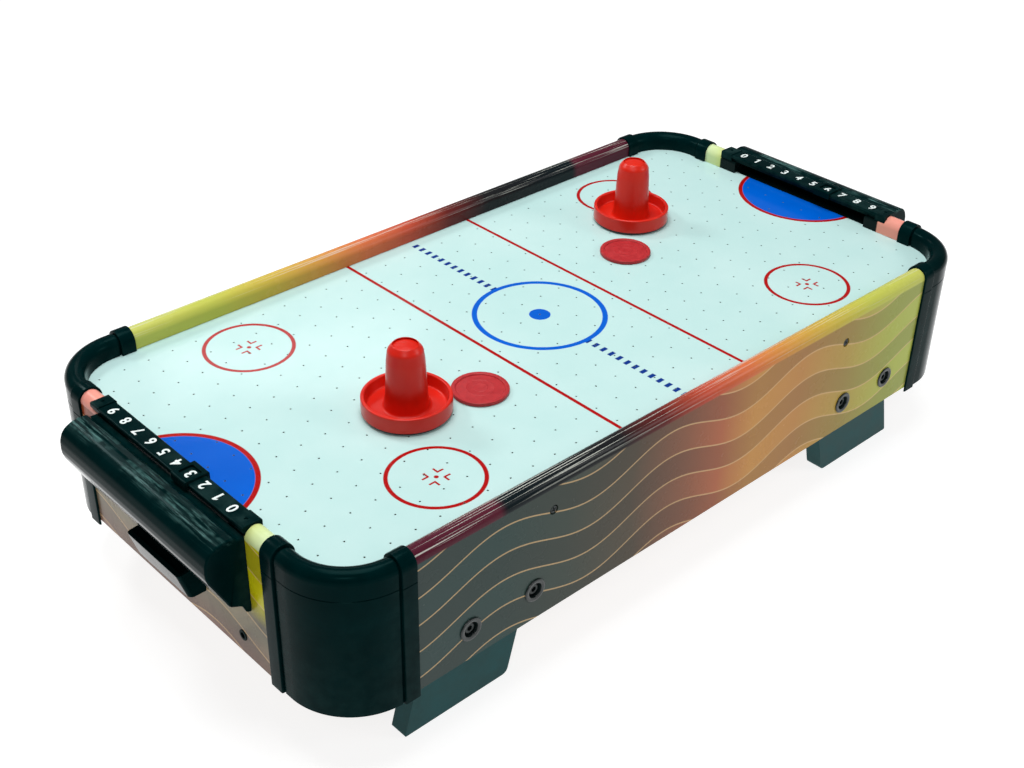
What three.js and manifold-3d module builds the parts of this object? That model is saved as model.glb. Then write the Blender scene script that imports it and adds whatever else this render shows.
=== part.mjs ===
// A tabletop air hockey table: a boarded box on four splayed legs, with a playfield over an air chamber,
// a fan under it, a goal box and a sliding scorer at each end, two mallets and two pucks.
// Millimetres, +Z up. The origin is on the surface the legs stand on, under the middle of the playfield.
// +X runs along the length, left is -X, right is +X, front is -Y and back is +Y.
import * as THREE from "three";
import { mergeVertices } from "three/addons/utils/BufferGeometryUtils.js";
import Module from "manifold-3d";

const wasm = await Module();
wasm.setup();

// ---- Driving dimensions ----

const GAP = 0.3; // clearance between touching pieces

const PLAY_Z = 178; // playfield surface above the floor
const INNER_X = 377; // half length between the end walls
const INNER_Y = 190; // half width between the side walls
const BOARD = 18; // thickness of the walls
const OUTER_X = INNER_X + BOARD;
const OUTER_Y = INNER_Y + BOARD;
const WALL_BOTTOM = 64;
const RAIL_R = BOARD / 2; // the walls end in a full round nose
const RAIL_Z = 187; // centre of that nose

const PLAY_T = 4; // playfield board
const BASE_T = 4; // base board, the floor of the air chamber
const BASE_Z = 116;
const TONGUE = 4.5; // how far both boards sit in the grooves of the walls

const CORNER_R = 44; // inner radius of the corners
const CORNER_X = INNER_X - CORNER_R;
const CORNER_Y = INNER_Y - CORNER_R;
const CAP_WALL = 2.5;
const CAP_BOTTOM = 60;
const COLLAR_LENGTH = 14;
const COLLAR_PROUD = 2.2;
const CAP_SHORT = 56.5; // from a cap's inner corner to its collar, along one wall
const CAP_LONG = 65.5; // and along the other, a quarter turn on
const COVERED = 6.5; // length of wall inside a collar

const LEG_BOTTOM = [-321.5, -213]; // the left legs' foot along X
const LEG_LEAN = 0.27; // how far a leg leans along X for each unit of height
const LEG_TOP = 114;
const LEG_T = 17;
const BOLT_X = [201.6, 269];
const BOLT_Z = 95;
const CUP_R = 10.5;
const CUP_BODY_R = 7.6;
const CUP_DEPTH = 7;

const BATTEN_X = [-183, 192];
const BATTEN_T = 18;
const BATTEN_Z = [148, PLAY_Z - PLAY_T - GAP];
const BATTEN_SCREW_Z = 165.5;

const MOUTH_Y = [-82, 90.5]; // the left goal mouth
const MOUTH_FLOOR = PLAY_Z - 0.6;
const BAR_X = [-396, -379]; // scorer bar across the left wall
const BAR_Y = [-103.5, 114.5];
const BAR_Z = [190, 197];
const BAR_STEM = 2; // the bar's lower part is this much narrower on each side
const BAR_HEAD_Z = 193.3;
const BAR_STOPS = [-89, 102.5]; // blocks from here to the bar's ends stop the marker
const STOP_PROUD = 0.8;
const BAR_PEG_Y = [-95, 104]; // pegs under the bar, pressed into the wall
const DIGIT_PITCH = 18.9;
const DIGIT_0_Y = -78.5;
const MARKER_LENGTH = 20;
const MARKER_SCORES = { left: 3, right: 6 }; // the numbers the markers frame

const HOOD_Y = [-104, 108];
const HOOD_WALL = 2.5;
const HOOD_BOTTOM = PLAY_Z - 47.5;
const HOOD_SCREW_Y = [-96.8, 100.8];
const HOOD_SCREW_Z = 126.5;
const TRAY_Y = 38;
const TRAY_WALL = 2.2;
const TRAY_SCREW_Z = 112;

const FAN_HALF = 60;
const FAN_Z = [91, BASE_Z - GAP];
const FAN_BORE_R = 57;
const FAN_SCREW_XY = 52.5;
const HUB_R = 21;
const BLADES = 7;
const SHAFT_R = 2.05;
const BEARING_R = 2.2;

const SOCKET_Y = -87; // the power jack, and mirrored to it the switch
const SOCKET_Z = 83;
const ROCKER_TILT = 8; // degrees each way from level
const ROCKER_PIVOT_X = -OUTER_X - 0.5;
const ROCKER_PIN_R = 1;
const LEAD_R = 1.7;
const LEAD_Z = BASE_Z - 5;

const MALLET_R = 38.5;
const FELT_T = 2;
const MALLET_PLACES = { left: [-193, -42], right: [207, 80] };
const PUCK_R = 25.2;
const PUCK_T = 3.5;
const PUCK_PLACES = { left: [-127.5, -60], right: [148, 31.5] };

// ---- Materials ----

function finish(color, roughness, metalness = 0) {
  return new THREE.MeshStandardMaterial({ color, roughness, metalness });
}

const MATERIAL = {
  playfield: finish(0xd3f2ee, 0.25),
  hardboard: finish(0x8a6a48, 0.85),
  printed: finish(0xb0704a, 0.45),
  blackPlastic: finish(0x12201f, 0.35),
  blackBoard: finish(0x2f5555, 0.6),
  pine: finish(0xc9a877, 0.8),
  steel: finish(0x9a9c9e, 0.35, 1),
  fanPlastic: finish(0x1b1c1d, 0.5),
  copper: finish(0x9a5a35, 0.4, 1),
  redPlastic: finish(0xd8402c, 0.3),
  felt: finish(0x1c1d1f, 0.95),
  puck: finish(0xc03a44, 0.45),
  cable: finish(0x141414, 0.6),
};

// ---- Geometry helpers ----

function outline(points) {
  return new THREE.Shape(points.map(([a, b]) => new THREE.Vector2(a, b)));
}

function prism(shape, depth, curveSegments = 6) {
  return new THREE.ExtrudeGeometry(shape, { depth, bevelEnabled: false, curveSegments });
}

// A shape drawn in Y and Z, swept along X.
function sweepX(shape, x0, x1, curveSegments) {
  const turn = new THREE.Matrix4().makeBasis(
    new THREE.Vector3(0, 1, 0),
    new THREE.Vector3(0, 0, 1),
    new THREE.Vector3(1, 0, 0),
  );
  return prism(shape, x1 - x0, curveSegments).applyMatrix4(turn).translate(x0, 0, 0);
}

// A shape drawn in X and Z, swept along Y.
function sweepY(shape, y0, y1, curveSegments) {
  return prism(shape, y1 - y0, curveSegments).rotateX(Math.PI / 2).translate(0, y1, 0);
}

// A shape drawn in X and Y, swept along Z.
function sweepZ(shape, z0, z1, curveSegments) {
  return prism(shape, z1 - z0, curveSegments).translate(0, 0, z0);
}

function block(x, y, z) {
  const geometry = new THREE.BoxGeometry(x[1] - x[0], y[1] - y[0], z[1] - z[0]);
  return geometry.translate((x[0] + x[1]) / 2, (y[0] + y[1]) / 2, (z[0] + z[1]) / 2);
}

// A profile of [radius, height] points turned about Z.
function turned(points, segments) {
  const profile = points.map(([r, z]) => new THREE.Vector2(r, z));
  return new THREE.LatheGeometry(profile, segments).rotateX(Math.PI / 2);
}

function rod(radius, z0, z1, segments) {
  const points = [
    [0, z0],
    [radius, z0],
    [radius, z1],
    [0, z1],
  ];
  return turned(points, segments);
}

function alongX(geometry) {
  return geometry.rotateY(Math.PI / 2);
}

function alongY(geometry) {
  return geometry.rotateX(-Math.PI / 2);
}

function solid(geometry) {
  const bare = geometry.index ? geometry.toNonIndexed() : geometry.clone();
  bare.deleteAttribute("normal");
  bare.deleteAttribute("uv");
  const merged = mergeVertices(bare, 1e-3);
  return new wasm.Manifold(
    new wasm.Mesh({
      numProp: 3,
      vertProperties: merged.attributes.position.array,
      triVerts: new Uint32Array(merged.index.array),
    }),
  );
}

function joined(...geometries) {
  return geometries.map(solid).reduce((a, b) => a.add(b));
}

function geometryOf(manifold) {
  const { vertProperties, triVerts } = manifold.getMesh();
  const geometry = new THREE.BufferGeometry();
  geometry.setAttribute("position", new THREE.BufferAttribute(vertProperties, 3));
  geometry.setIndex(new THREE.BufferAttribute(triVerts, 1));
  const flat = geometry.toNonIndexed();
  flat.computeVertexNormals();
  return flat;
}

const table = new THREE.Group();

function addPiece(name, shape, material, parent = table) {
  const geometry = shape.isBufferGeometry ? shape : geometryOf(shape);
  const mesh = new THREE.Mesh(geometry, material);
  mesh.name = name;
  parent.add(mesh);
  return mesh;
}

// Both ends are alike, turned half a turn about Z.
const leftEnd = new THREE.Group();
const rightEnd = new THREE.Group();
rightEnd.rotation.z = Math.PI;
table.add(leftEnd, rightEnd);
const ENDS = { left: leftEnd, right: rightEnd };

// ---- The boards ----

function roundedPlate(halfX, halfY, radius) {
  const shape = new THREE.Shape();
  shape.moveTo(-halfX + radius, -halfY);
  shape.lineTo(halfX - radius, -halfY);
  shape.absarc(halfX - radius, -halfY + radius, radius, -Math.PI / 2, 0);
  shape.absarc(halfX - radius, halfY - radius, radius, 0, Math.PI / 2);
  shape.absarc(-halfX + radius, halfY - radius, radius, Math.PI / 2, Math.PI);
  shape.absarc(-halfX + radius, -halfY + radius, radius, Math.PI, 1.5 * Math.PI);
  return shape;
}

function roundHole(x, y, radius) {
  return new THREE.Path().absarc(x, y, radius, 0, 2 * Math.PI, true);
}

function boardOutline() {
  return roundedPlate(INNER_X + TONGUE, INNER_Y + TONGUE, CORNER_R + TONGUE);
}

function playfieldBoard() {
  return sweepZ(boardOutline(), PLAY_Z - PLAY_T, PLAY_Z);
}

function baseBoard() {
  const shape = boardOutline();
  shape.holes.push(roundHole(0, 0, FAN_BORE_R - 2));
  for (const x of [-FAN_SCREW_XY, FAN_SCREW_XY]) {
    for (const y of [-FAN_SCREW_XY, FAN_SCREW_XY]) {
      shape.holes.push(roundHole(x, y, 2.1));
    }
  }
  return sweepZ(shape, BASE_Z, BASE_Z + BASE_T, 10);
}

// A wall's section: depth runs from the inner face (0) to the outer face (BOARD).
// Two grooves in the inner face hold the playfield and the base board.
function wallSection(toAxis) {
  const groove = TONGUE + GAP;
  const shape = new THREE.Shape();
  const corners = [
    [BOARD, WALL_BOTTOM],
    [0, WALL_BOTTOM],
    [0, BASE_Z - GAP],
    [groove, BASE_Z - GAP],
    [groove, BASE_Z + BASE_T + GAP],
    [0, BASE_Z + BASE_T + GAP],
    [0, PLAY_Z - PLAY_T - GAP],
    [groove, PLAY_Z - PLAY_T - GAP],
    [groove, PLAY_Z + GAP],
    [0, PLAY_Z + GAP],
    [0, RAIL_Z],
  ];
  corners.forEach(([depth, z], i) => {
    if (i) shape.lineTo(toAxis(depth), z);
    else shape.moveTo(toAxis(depth), z);
  });
  const steps = 8;
  for (let i = 1; i <= steps; i++) {
    const angle = Math.PI - (Math.PI * i) / steps;
    shape.lineTo(toAxis(RAIL_R + RAIL_R * Math.cos(angle)), RAIL_Z + RAIL_R * Math.sin(angle));
  }
  return shape;
}

// The front wall with its leg bolt pockets and batten screw holes. The back wall is made alike and
// turned round.
function sideWall(battenX) {
  const ends = [-INNER_X + CAP_SHORT - COVERED, INNER_X - CAP_LONG + COVERED];
  let wall = solid(sweepX(wallSection((depth) => -INNER_Y - depth), ...ends));
  for (const x of [...BOLT_X, ...BOLT_X.map((v) => -v)]) {
    const bore = joined(
      alongY(rod(3.6, -OUTER_Y - 5, -INNER_Y + 5, 12)),
      alongY(rod(CUP_BODY_R + GAP, -OUTER_Y - 5, -OUTER_Y + CUP_DEPTH + GAP, 16)),
    );
    wall = wall.subtract(bore.translate(x, 0, BOLT_Z));
  }
  for (const x of battenX) {
    const hole = solid(alongY(rod(2.4, -OUTER_Y - 5, -INNER_Y + 5, 10)));
    const seat = solid(alongY(rod(4.4, -OUTER_Y - 5, -OUTER_Y + 2.5, 10)));
    wall = wall.subtract(hole.add(seat).translate(x, 0, BATTEN_SCREW_Z));
  }
  return wall;
}

// The left end wall: the goal mouth with the scorer's rebate over it, and a hole for a jack or a switch.
function endWall(socketCut) {
  const ends = [-INNER_Y + CAP_LONG - COVERED, INNER_Y - CAP_SHORT + COVERED];
  const section = wallSection((depth) => -INNER_X - depth);
  const across = [-OUTER_X - 5, -INNER_X + 5];
  const mouth = block(across, MOUTH_Y, [MOUTH_FLOOR, RAIL_Z + 20]);
  const rebate = block(across, [BAR_Y[0] - GAP, BAR_Y[1] + GAP], [BAR_Z[0] - GAP, RAIL_Z + 20]);
  let wall = solid(sweepY(section, ...ends)).subtract(joined(mouth, rebate, socketCut));
  for (const y of HOOD_SCREW_Y) {
    const pilot = solid(alongX(rod(1.9, -OUTER_X - 1, -OUTER_X + 12, 8)));
    wall = wall.subtract(pilot.translate(0, y, HOOD_SCREW_Z));
  }
  for (const y of BAR_PEG_Y) {
    const pegHole = solid(rod(2.4, BAR_Z[0] - 10, BAR_Z[0], 8));
    wall = wall.subtract(pegHole.translate(-OUTER_X + RAIL_R, y, 0));
  }
  const trayPilot = solid(alongX(rod(1.9, -OUTER_X - 1, -OUTER_X + 12, 8)));
  return wall.subtract(trayPilot.translate(0, 0, TRAY_SCREW_Z));
}

// ---- The corner caps ----

// The full section of a cap across its wall, from the inner face (0) outwards, grown by a margin.
function capSection(toAxis, margin, floor) {
  const shape = new THREE.Shape();
  shape.moveTo(toAxis(BOARD + margin), floor);
  shape.lineTo(toAxis(-margin), floor);
  const steps = 8;
  for (let i = 0; i <= steps; i++) {
    const angle = Math.PI - (Math.PI * i) / steps;
    const reach = (RAIL_R + margin) * Math.cos(angle);
    shape.lineTo(toAxis(RAIL_R + reach), RAIL_Z + (RAIL_R + margin) * Math.sin(angle));
  }
  return shape;
}

// A quarter ring about the corner's centre, from the same section.
function capArc(margin, floor) {
  const section = capSection((depth) => CORNER_R + depth, margin, floor).getPoints(1);
  const ring = section.map((p) => [p.x, p.y]).reverse();
  if (section[0].distanceTo(section.at(-1)) > 1e-6) ring.push(ring[0]);
  const segments = 32;
  const reach = CORNER_R + BOARD + 20;
  const quarter = block([0, reach], [0, reach], [0, RAIL_Z + 40]);
  return solid(turned(ring, segments)).intersect(solid(quarter));
}

// The back right cap, about the corner's centre: round, hollow, open below, with a collar at each end.
function cornerCap() {
  const legX = CORNER_R - CAP_SHORT; // where the collar on the side wall begins, from the corner's centre
  const legY = CORNER_R - CAP_LONG;
  const innerFace = (depth) => CORNER_R + depth;
  const body = (margin, floor, fromX, fromY) => {
    const alongSide = sweepX(capSection(innerFace, margin, floor), fromX[0], fromX[1]);
    const alongEnd = sweepY(capSection(innerFace, margin, floor), fromY[0], fromY[1]);
    return joined(alongSide, alongEnd);
  };
  const collarX = [legX, legX + COLLAR_LENGTH];
  const collarY = [legY, legY + COLLAR_LENGTH];
  const coveredX = [legX - 1, legX + COVERED + GAP];
  const coveredY = [legY - 1, legY + COVERED + GAP];
  const outside = capArc(0, CAP_BOTTOM)
    .add(body(0, CAP_BOTTOM, [coveredX[1], 0.01], [coveredY[1], 0.01]))
    .add(body(COLLAR_PROUD, CAP_BOTTOM, collarX, collarY));
  const below = CAP_BOTTOM - 1;
  const inside = capArc(-CAP_WALL, below)
    .add(body(-CAP_WALL, below, [coveredX[1] - 0.01, 0.01], [coveredY[1] - 0.01, 0.01]))
    .add(body(GAP, below, coveredX, coveredY));
  // Under the playfield only the outer skirt is left.
  const skirtInner = CORNER_R + BOARD - CAP_WALL;
  const seat = PLAY_Z + GAP;
  const core = joined(
    rod(skirtInner, below, seat, 32),
    block([-60, 0.01], [0, skirtInner], [below, seat]),
    block([0, skirtInner], [-60, 0.01], [below, seat]),
    block([-60, coveredX[1]], [0, CORNER_R + BOARD + GAP], [below, seat]),
    block([0, CORNER_R + BOARD + GAP], [-60, coveredY[1]], [below, seat]),
  );
  return outside.subtract(inside).subtract(core);
}

// ---- Legs and their bolts ----

// A front left leg board.
function leg() {
  const [x0, x1] = LEG_BOTTOM;
  const lean = LEG_LEAN * LEG_TOP;
  const shape = outline([
    [x0, 0],
    [x1, 0],
    [x1 + lean, LEG_TOP],
    [x0 + lean, LEG_TOP],
  ]);
  const inner = -INNER_Y + GAP;
  let board = solid(sweepY(shape, inner, inner + LEG_T));
  for (const x of BOLT_X) {
    const bore = solid(alongY(rod(3.4, inner - 1, inner + LEG_T + 1, 12)));
    board = board.subtract(bore.translate(-x, 0, BOLT_Z));
  }
  return board;
}

// A cup washer sunk in the wall with a pan-headed bolt in it, pointing along +Y from the front wall's face.
function legBolt() {
  const face = -OUTER_Y;
  const flange = face - GAP;
  const floor = face + CUP_DEPTH;
  const profile = [
    [0, floor - 5.5],
    [4, floor - 5],
    [5, floor - 2],
    [CUP_BODY_R - 1.4, floor - 2],
    [CUP_BODY_R - 1.4, flange - 1.2],
    [CUP_R - 0.6, flange - 1.2],
    [CUP_R, flange - 0.4],
    [CUP_R, flange],
    [CUP_BODY_R, flange],
    [CUP_BODY_R, floor],
    [3, floor],
    [3, face + BOARD + LEG_T - 3],
    [0, face + BOARD + LEG_T - 3],
  ];
  return alongY(turned(profile, 12));
}

// ---- Screws ----

// A pan-headed screw with its head's underside at 0 and its tip at +Z.
function screw(headR, headT, shankR, length) {
  const profile = [
    [0, -headT],
    [headR * 0.7, -headT],
    [headR, -headT * 0.4],
    [headR, 0],
    [shankR, 0],
    [shankR, length - shankR],
    [0, length],
  ];
  return turned(profile, 10);
}

// ---- Goal end: hood, tray, scorer ----

// The hood's section in X and Z: a gutter by the wall, a crown, the bulging front and the slanted
// underside. Drawn in by an inset it is the hollow, which runs out through the wall side and the bottom.
function hoodSection(inset) {
  const wall = -OUTER_X - GAP + (inset ? 2 : 0);
  return outline([
    [wall, HOOD_BOTTOM - 2 * inset],
    inset ? [-407, HOOD_BOTTOM - 2 * inset] : [-413, PLAY_Z - 45.5],
    [-428 + 1.1 * inset, PLAY_Z - 16],
    [-429.6 + inset, PLAY_Z - 11],
    [-430 + inset, PLAY_Z - 6],
    [-429.6 + inset, PLAY_Z + 1],
    [-427.4 + 0.9 * inset, PLAY_Z + 7.5 - 0.4 * inset],
    [-423.6 + 0.7 * inset, PLAY_Z + 11.6 - 0.8 * inset],
    [-417.5 + 0.3 * inset, PLAY_Z + 14.4 - inset],
    [-411, PLAY_Z + 15.6 - inset],
    [-404, PLAY_Z + 15 - inset],
    [-401, PLAY_Z + 12.2 - inset],
    [wall, PLAY_Z + 12 - inset],
  ]);
}

// A bulging shell over the goal mouth, open to the wall and below, with a screw ear at each lower corner.
function goalHood() {
  const wall = -OUTER_X - GAP;
  const inner = [HOOD_Y[0] + HOOD_WALL, HOOD_Y[1] - HOOD_WALL];
  let hood = solid(sweepY(hoodSection(0), ...HOOD_Y))
    .subtract(solid(sweepY(hoodSection(HOOD_WALL), ...inner)))
    .subtract(solid(block([-440, -405], inner, [PLAY_Z - 60, PLAY_Z - 41.5])));
  const gusset = outline([
    [wall, PLAY_Z - 40],
    [wall, PLAY_Z - 59],
    [wall - 4.5, PLAY_Z - 57],
    [wall - 7.5, PLAY_Z - 50],
    [-412.9, PLAY_Z - 45.4],
    [-414.8, PLAY_Z - 41.5],
  ]);
  for (const side of [0, 1]) {
    const y = (from, to) =>
      side ? [HOOD_Y[1] - to, HOOD_Y[1] - from] : [HOOD_Y[0] + from, HOOD_Y[0] + to];
    const ear = block([wall - HOOD_WALL, wall], y(0.4, 12), [PLAY_Z - 58, PLAY_Z - 41]);
    hood = hood.add(solid(sweepY(gusset, ...y(0, HOOD_WALL)))).add(solid(ear));
    const hole = solid(alongX(rod(2.1, wall - 6, wall + 2, 10)));
    hood = hood.subtract(hole.translate(0, HOOD_SCREW_Y[side], HOOD_SCREW_Z));
  }
  return hood;
}

// The catch tray under the hood: a slanted front, a floor, two cheeks and a back plate.
function puckTray() {
  const wall = -OUTER_X - GAP;
  const section = (inset) =>
    outline([
      [wall - inset, PLAY_Z - 82 + inset],
      [wall - inset, PLAY_Z - 54 + 3 * inset],
      [-418.5 + 1.1 * inset, PLAY_Z - 56 + 3 * inset],
      [-410.3 + 0.8 * inset, PLAY_Z - 82 + inset],
    ]);
  const inner = TRAY_Y - TRAY_WALL;
  const tray = solid(sweepY(section(0), -TRAY_Y, TRAY_Y)).subtract(
    solid(sweepY(section(TRAY_WALL), -inner, inner)),
  );
  const hole = solid(alongX(rod(2.1, wall - 6, wall + 2, 10)));
  return tray.subtract(hole.translate(0, 0, TRAY_SCREW_Z));
}

// A T-shaped bar across the wall, whose head the marker clips over, with a stop block at each end.
function scorerBar() {
  const [x0, x1] = BAR_X;
  const shape = outline([
    [x0 + BAR_STEM, BAR_Z[0]],
    [x1 - BAR_STEM, BAR_Z[0]],
    [x1 - BAR_STEM, BAR_HEAD_Z],
    [x1, BAR_HEAD_Z],
    [x1, BAR_Z[1] - 0.8],
    [x1 - 0.8, BAR_Z[1]],
    [x0 + 0.8, BAR_Z[1]],
    [x0, BAR_Z[1] - 0.8],
    [x0, BAR_HEAD_Z],
    [x0 + BAR_STEM, BAR_HEAD_Z],
  ]);
  let bar = solid(sweepY(shape, ...BAR_Y));
  const top = BAR_Z[1] + STOP_PROUD;
  for (const span of [[BAR_Y[0], BAR_STOPS[0]], [BAR_STOPS[1], BAR_Y[1]]]) {
    bar = bar.add(solid(block([x0 + BAR_STEM, x1 + STOP_PROUD], span, [BAR_Z[0], top])));
    bar = bar.add(solid(block([x0, x1 + STOP_PROUD], span, [BAR_HEAD_Z, top])));
  }
  for (const y of BAR_PEG_Y) {
    bar = bar.add(solid(rod(2, BAR_Z[0] - 9, BAR_Z[0] + 1, 8)).translate(-OUTER_X + RAIL_R, y, 0));
  }
  return bar;
}

// A clip round the bar's head, with a window that frames one number.
function scoreMarker(step) {
  const side = 2.2;
  const lip = 1.2;
  const x0 = BAR_X[0] - GAP - side;
  const x1 = BAR_X[1] + GAP + side;
  const low = BAR_HEAD_Z - GAP - 1.1;
  const clip = outline([
    [x0, low],
    [x0 + side + lip, low],
    [x0 + side + lip, BAR_HEAD_Z - GAP],
    [x0 + side, BAR_HEAD_Z - GAP],
    [x0 + side, BAR_Z[1] + GAP],
    [x1 - side, BAR_Z[1] + GAP],
    [x1 - side, BAR_HEAD_Z - GAP],
    [x1 - side - lip, BAR_HEAD_Z - GAP],
    [x1 - side - lip, low],
    [x1, low],
    [x1, BAR_Z[1] + GAP + 1],
    [x1 - 1, BAR_Z[1] + GAP + 2],
    [x0 + 1, BAR_Z[1] + GAP + 2],
    [x0, BAR_Z[1] + GAP + 1],
  ]);
  const y = DIGIT_0_Y + step * DIGIT_PITCH;
  const half = MARKER_LENGTH / 2;
  const middle = (BAR_X[0] + BAR_X[1]) / 2;
  const window = block([middle - 6.5, middle + 6.5], [y - 7, y + 7], [BAR_Z[1] - 1, BAR_Z[1] + 5]);
  return solid(sweepY(clip, y - half, y + half)).subtract(solid(window));
}

// ---- Fan ----

function fanFrame() {
  const [low, high] = FAN_Z;
  const shape = roundedPlate(FAN_HALF, FAN_HALF, 5);
  shape.holes.push(roundHole(0, 0, FAN_BORE_R));
  for (const x of [-FAN_SCREW_XY, FAN_SCREW_XY]) {
    for (const y of [-FAN_SCREW_XY, FAN_SCREW_XY]) {
      shape.holes.push(roundHole(x, y, 2.2));
    }
  }
  let frame = joined(sweepZ(shape, low, high, 12), rod(HUB_R, low, low + 2.5, 20));
  for (let i = 0; i < 3; i++) {
    const strut = block([HUB_R - 2, FAN_BORE_R + 1.5], [-2, 2], [low, low + 2.5]);
    frame = frame.add(solid(strut.rotateZ((2 * Math.PI * i) / 3 + 0.5)));
  }
  return frame;
}

// Windings round a bearing tube, standing on the frame's hub.
function fanStator() {
  const low = FAN_Z[0] + 2.5 + GAP;
  const profile = [
    [BEARING_R, low],
    [16.5, low],
    [16.5, low + 8],
    [5, low + 8],
    [5, low + 13],
    [BEARING_R, low + 13],
    [BEARING_R, low],
  ];
  return turned(profile, 16);
}

// A cup over the stator with its shaft, and blades set at a pitch round it.
function fanImpeller() {
  const low = FAN_Z[0] + 4;
  const high = FAN_Z[1] - 3;
  const cup = [
    [0, low + 4],
    [SHAFT_R, low + 4],
    [SHAFT_R, high - 2],
    [HUB_R - 2.5, high - 2],
    [HUB_R - 2.5, low],
    [HUB_R - 0.5, low],
    [HUB_R - 0.5, high],
    [0, high],
  ];
  let wheel = solid(turned(cup, 20));
  const pitch = 0.72;
  for (let i = 0; i < BLADES; i++) {
    const blade = block([HUB_R - 1, FAN_BORE_R - 2.8], [-11, 11], [-0.9, 0.9]);
    blade.rotateX(pitch);
    blade.translate(0, 0, (low + high) / 2);
    blade.rotateZ((2 * Math.PI * i) / BLADES);
    wheel = wheel.add(solid(blade));
  }
  return wheel;
}

// Rings, spokes and four ears, under the frame.
function fanGuard() {
  const high = FAN_Z[0] - GAP;
  const low = high - 2;
  const ring = (r0, r1) => {
    const shape = new THREE.Shape().absarc(0, 0, r1, 0, 2 * Math.PI);
    shape.holes.push(roundHole(0, 0, r0));
    return sweepZ(shape, low, high, 8);
  };
  let guard = joined(ring(54, 58), ring(38, 40.5), ring(21, 23.5));
  for (let i = 0; i < 4; i++) {
    const angle = Math.PI / 4 + (i * Math.PI) / 2;
    guard = guard.add(solid(block([22, 79], [-3.4, 3.4], [low, high]).rotateZ(angle)));
    const hole = rod(2.3, low - 1, high + 1, 10).translate(FAN_SCREW_XY * Math.SQRT2, 0, 0);
    guard = guard.subtract(solid(hole.rotateZ(angle)));
  }
  return guard;
}

// ---- Power ----

function jackCut() {
  return alongX(rod(4.6, -OUTER_X - 5, -INNER_X + 5, 14)).translate(0, SOCKET_Y, SOCKET_Z);
}

function switchCut() {
  const half = [10, 6.9];
  return block(
    [-OUTER_X - 5, -INNER_X + 5],
    [SOCKET_Y - half[0], SOCKET_Y + half[0]],
    [SOCKET_Z - half[1], SOCKET_Z + half[1]],
  );
}

// A barrel jack through the left wall, with its bore and centre pin facing out.
function powerJack() {
  const face = -OUTER_X - GAP;
  const profile = [
    [0, face + 2],
    [1, face + 2],
    [1, face + 9],
    [2.8, face + 9],
    [2.8, face - 0.4],
    [4.6, face - 0.4],
    [5, face],
    [4.2, face],
    [4.2, face + 22],
    [0, face + 22],
  ];
  return alongX(turned(profile, 14)).translate(0, SOCKET_Y, SOCKET_Z);
}

// The switch stands in the right wall: made for the left wall and carried round with the right end's group.
function switchBody() {
  const face = -OUTER_X - GAP;
  const y = (half) => [SOCKET_Y - half, SOCKET_Y + half];
  const z = (half) => [SOCKET_Z - half, SOCKET_Z + half];
  const bezel = block([face - 2, face], y(11.5), z(8.4));
  const body = block([face - 0.5, face + 17], y(9.6), z(6.5));
  const well = block([face - 3, face + 7], y(8), z(5.1));
  const socket = rod(ROCKER_PIN_R + 0.2, -6.1, 6.1, 10).translate(ROCKER_PIVOT_X, SOCKET_Y, SOCKET_Z);
  return joined(bezel, body).subtract(joined(well, socket));
}

// A rocker on two pins along Z, tilted to its off position.
function switchRocker() {
  const half = 7.4;
  const shape = outline([
    [2.6, -half],
    [2.6, half],
    [-2.4, half],
    [-1.2, 0],
    [-2.4, -half],
  ]);
  return joined(sweepZ(shape, -4.7, 4.7), rod(ROCKER_PIN_R, -5.9, 5.9, 10))
    .rotate([0, 0, ROCKER_TILT])
    .translate(ROCKER_PIVOT_X, SOCKET_Y, SOCKET_Z);
}

// A two-core lead through a list of points.
function lead(...points) {
  const path = points.map(([x, y, z]) => new THREE.Vector3(x, y, z));
  const section = new THREE.Shape().absarc(0, 0, LEAD_R, 0, 2 * Math.PI);
  return new THREE.ExtrudeGeometry(section, {
    steps: 26,
    extrudePath: new THREE.CatmullRomCurve3(path, false, "centripetal"),
    curveSegments: 3,
  });
}

// From the jack at the left end to the switch at the right end, held up under the base board.
function jackLead() {
  return lead(
    [-OUTER_X + 22, SOCKET_Y, SOCKET_Z],
    [-OUTER_X + 34, SOCKET_Y, SOCKET_Z],
    [-335, -93, LEAD_Z - 10],
    [-300, -100, LEAD_Z],
    [-100, -104, LEAD_Z],
    [60, -96, LEAD_Z],
    [180, -20, LEAD_Z],
    [300, 60, LEAD_Z],
    [335, 78, LEAD_Z - 10],
    [OUTER_X - 30, -SOCKET_Y - 4, SOCKET_Z],
    [OUTER_X - 17, -SOCKET_Y - 4, SOCKET_Z],
  );
}

// From the switch back to the fan.
function fanLead() {
  return lead(
    [OUTER_X - 17, -SOCKET_Y + 4, SOCKET_Z],
    [OUTER_X - 30, -SOCKET_Y + 4, SOCKET_Z],
    [335, 96, LEAD_Z - 10],
    [300, 90, LEAD_Z],
    [150, 50, LEAD_Z],
    [95, 32, LEAD_Z - 3],
    [74, 28, LEAD_Z - 5],
    [FAN_HALF + 2 * GAP, 28, LEAD_Z - 5],
  );
}

// ---- Mallets and pucks ----

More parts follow.
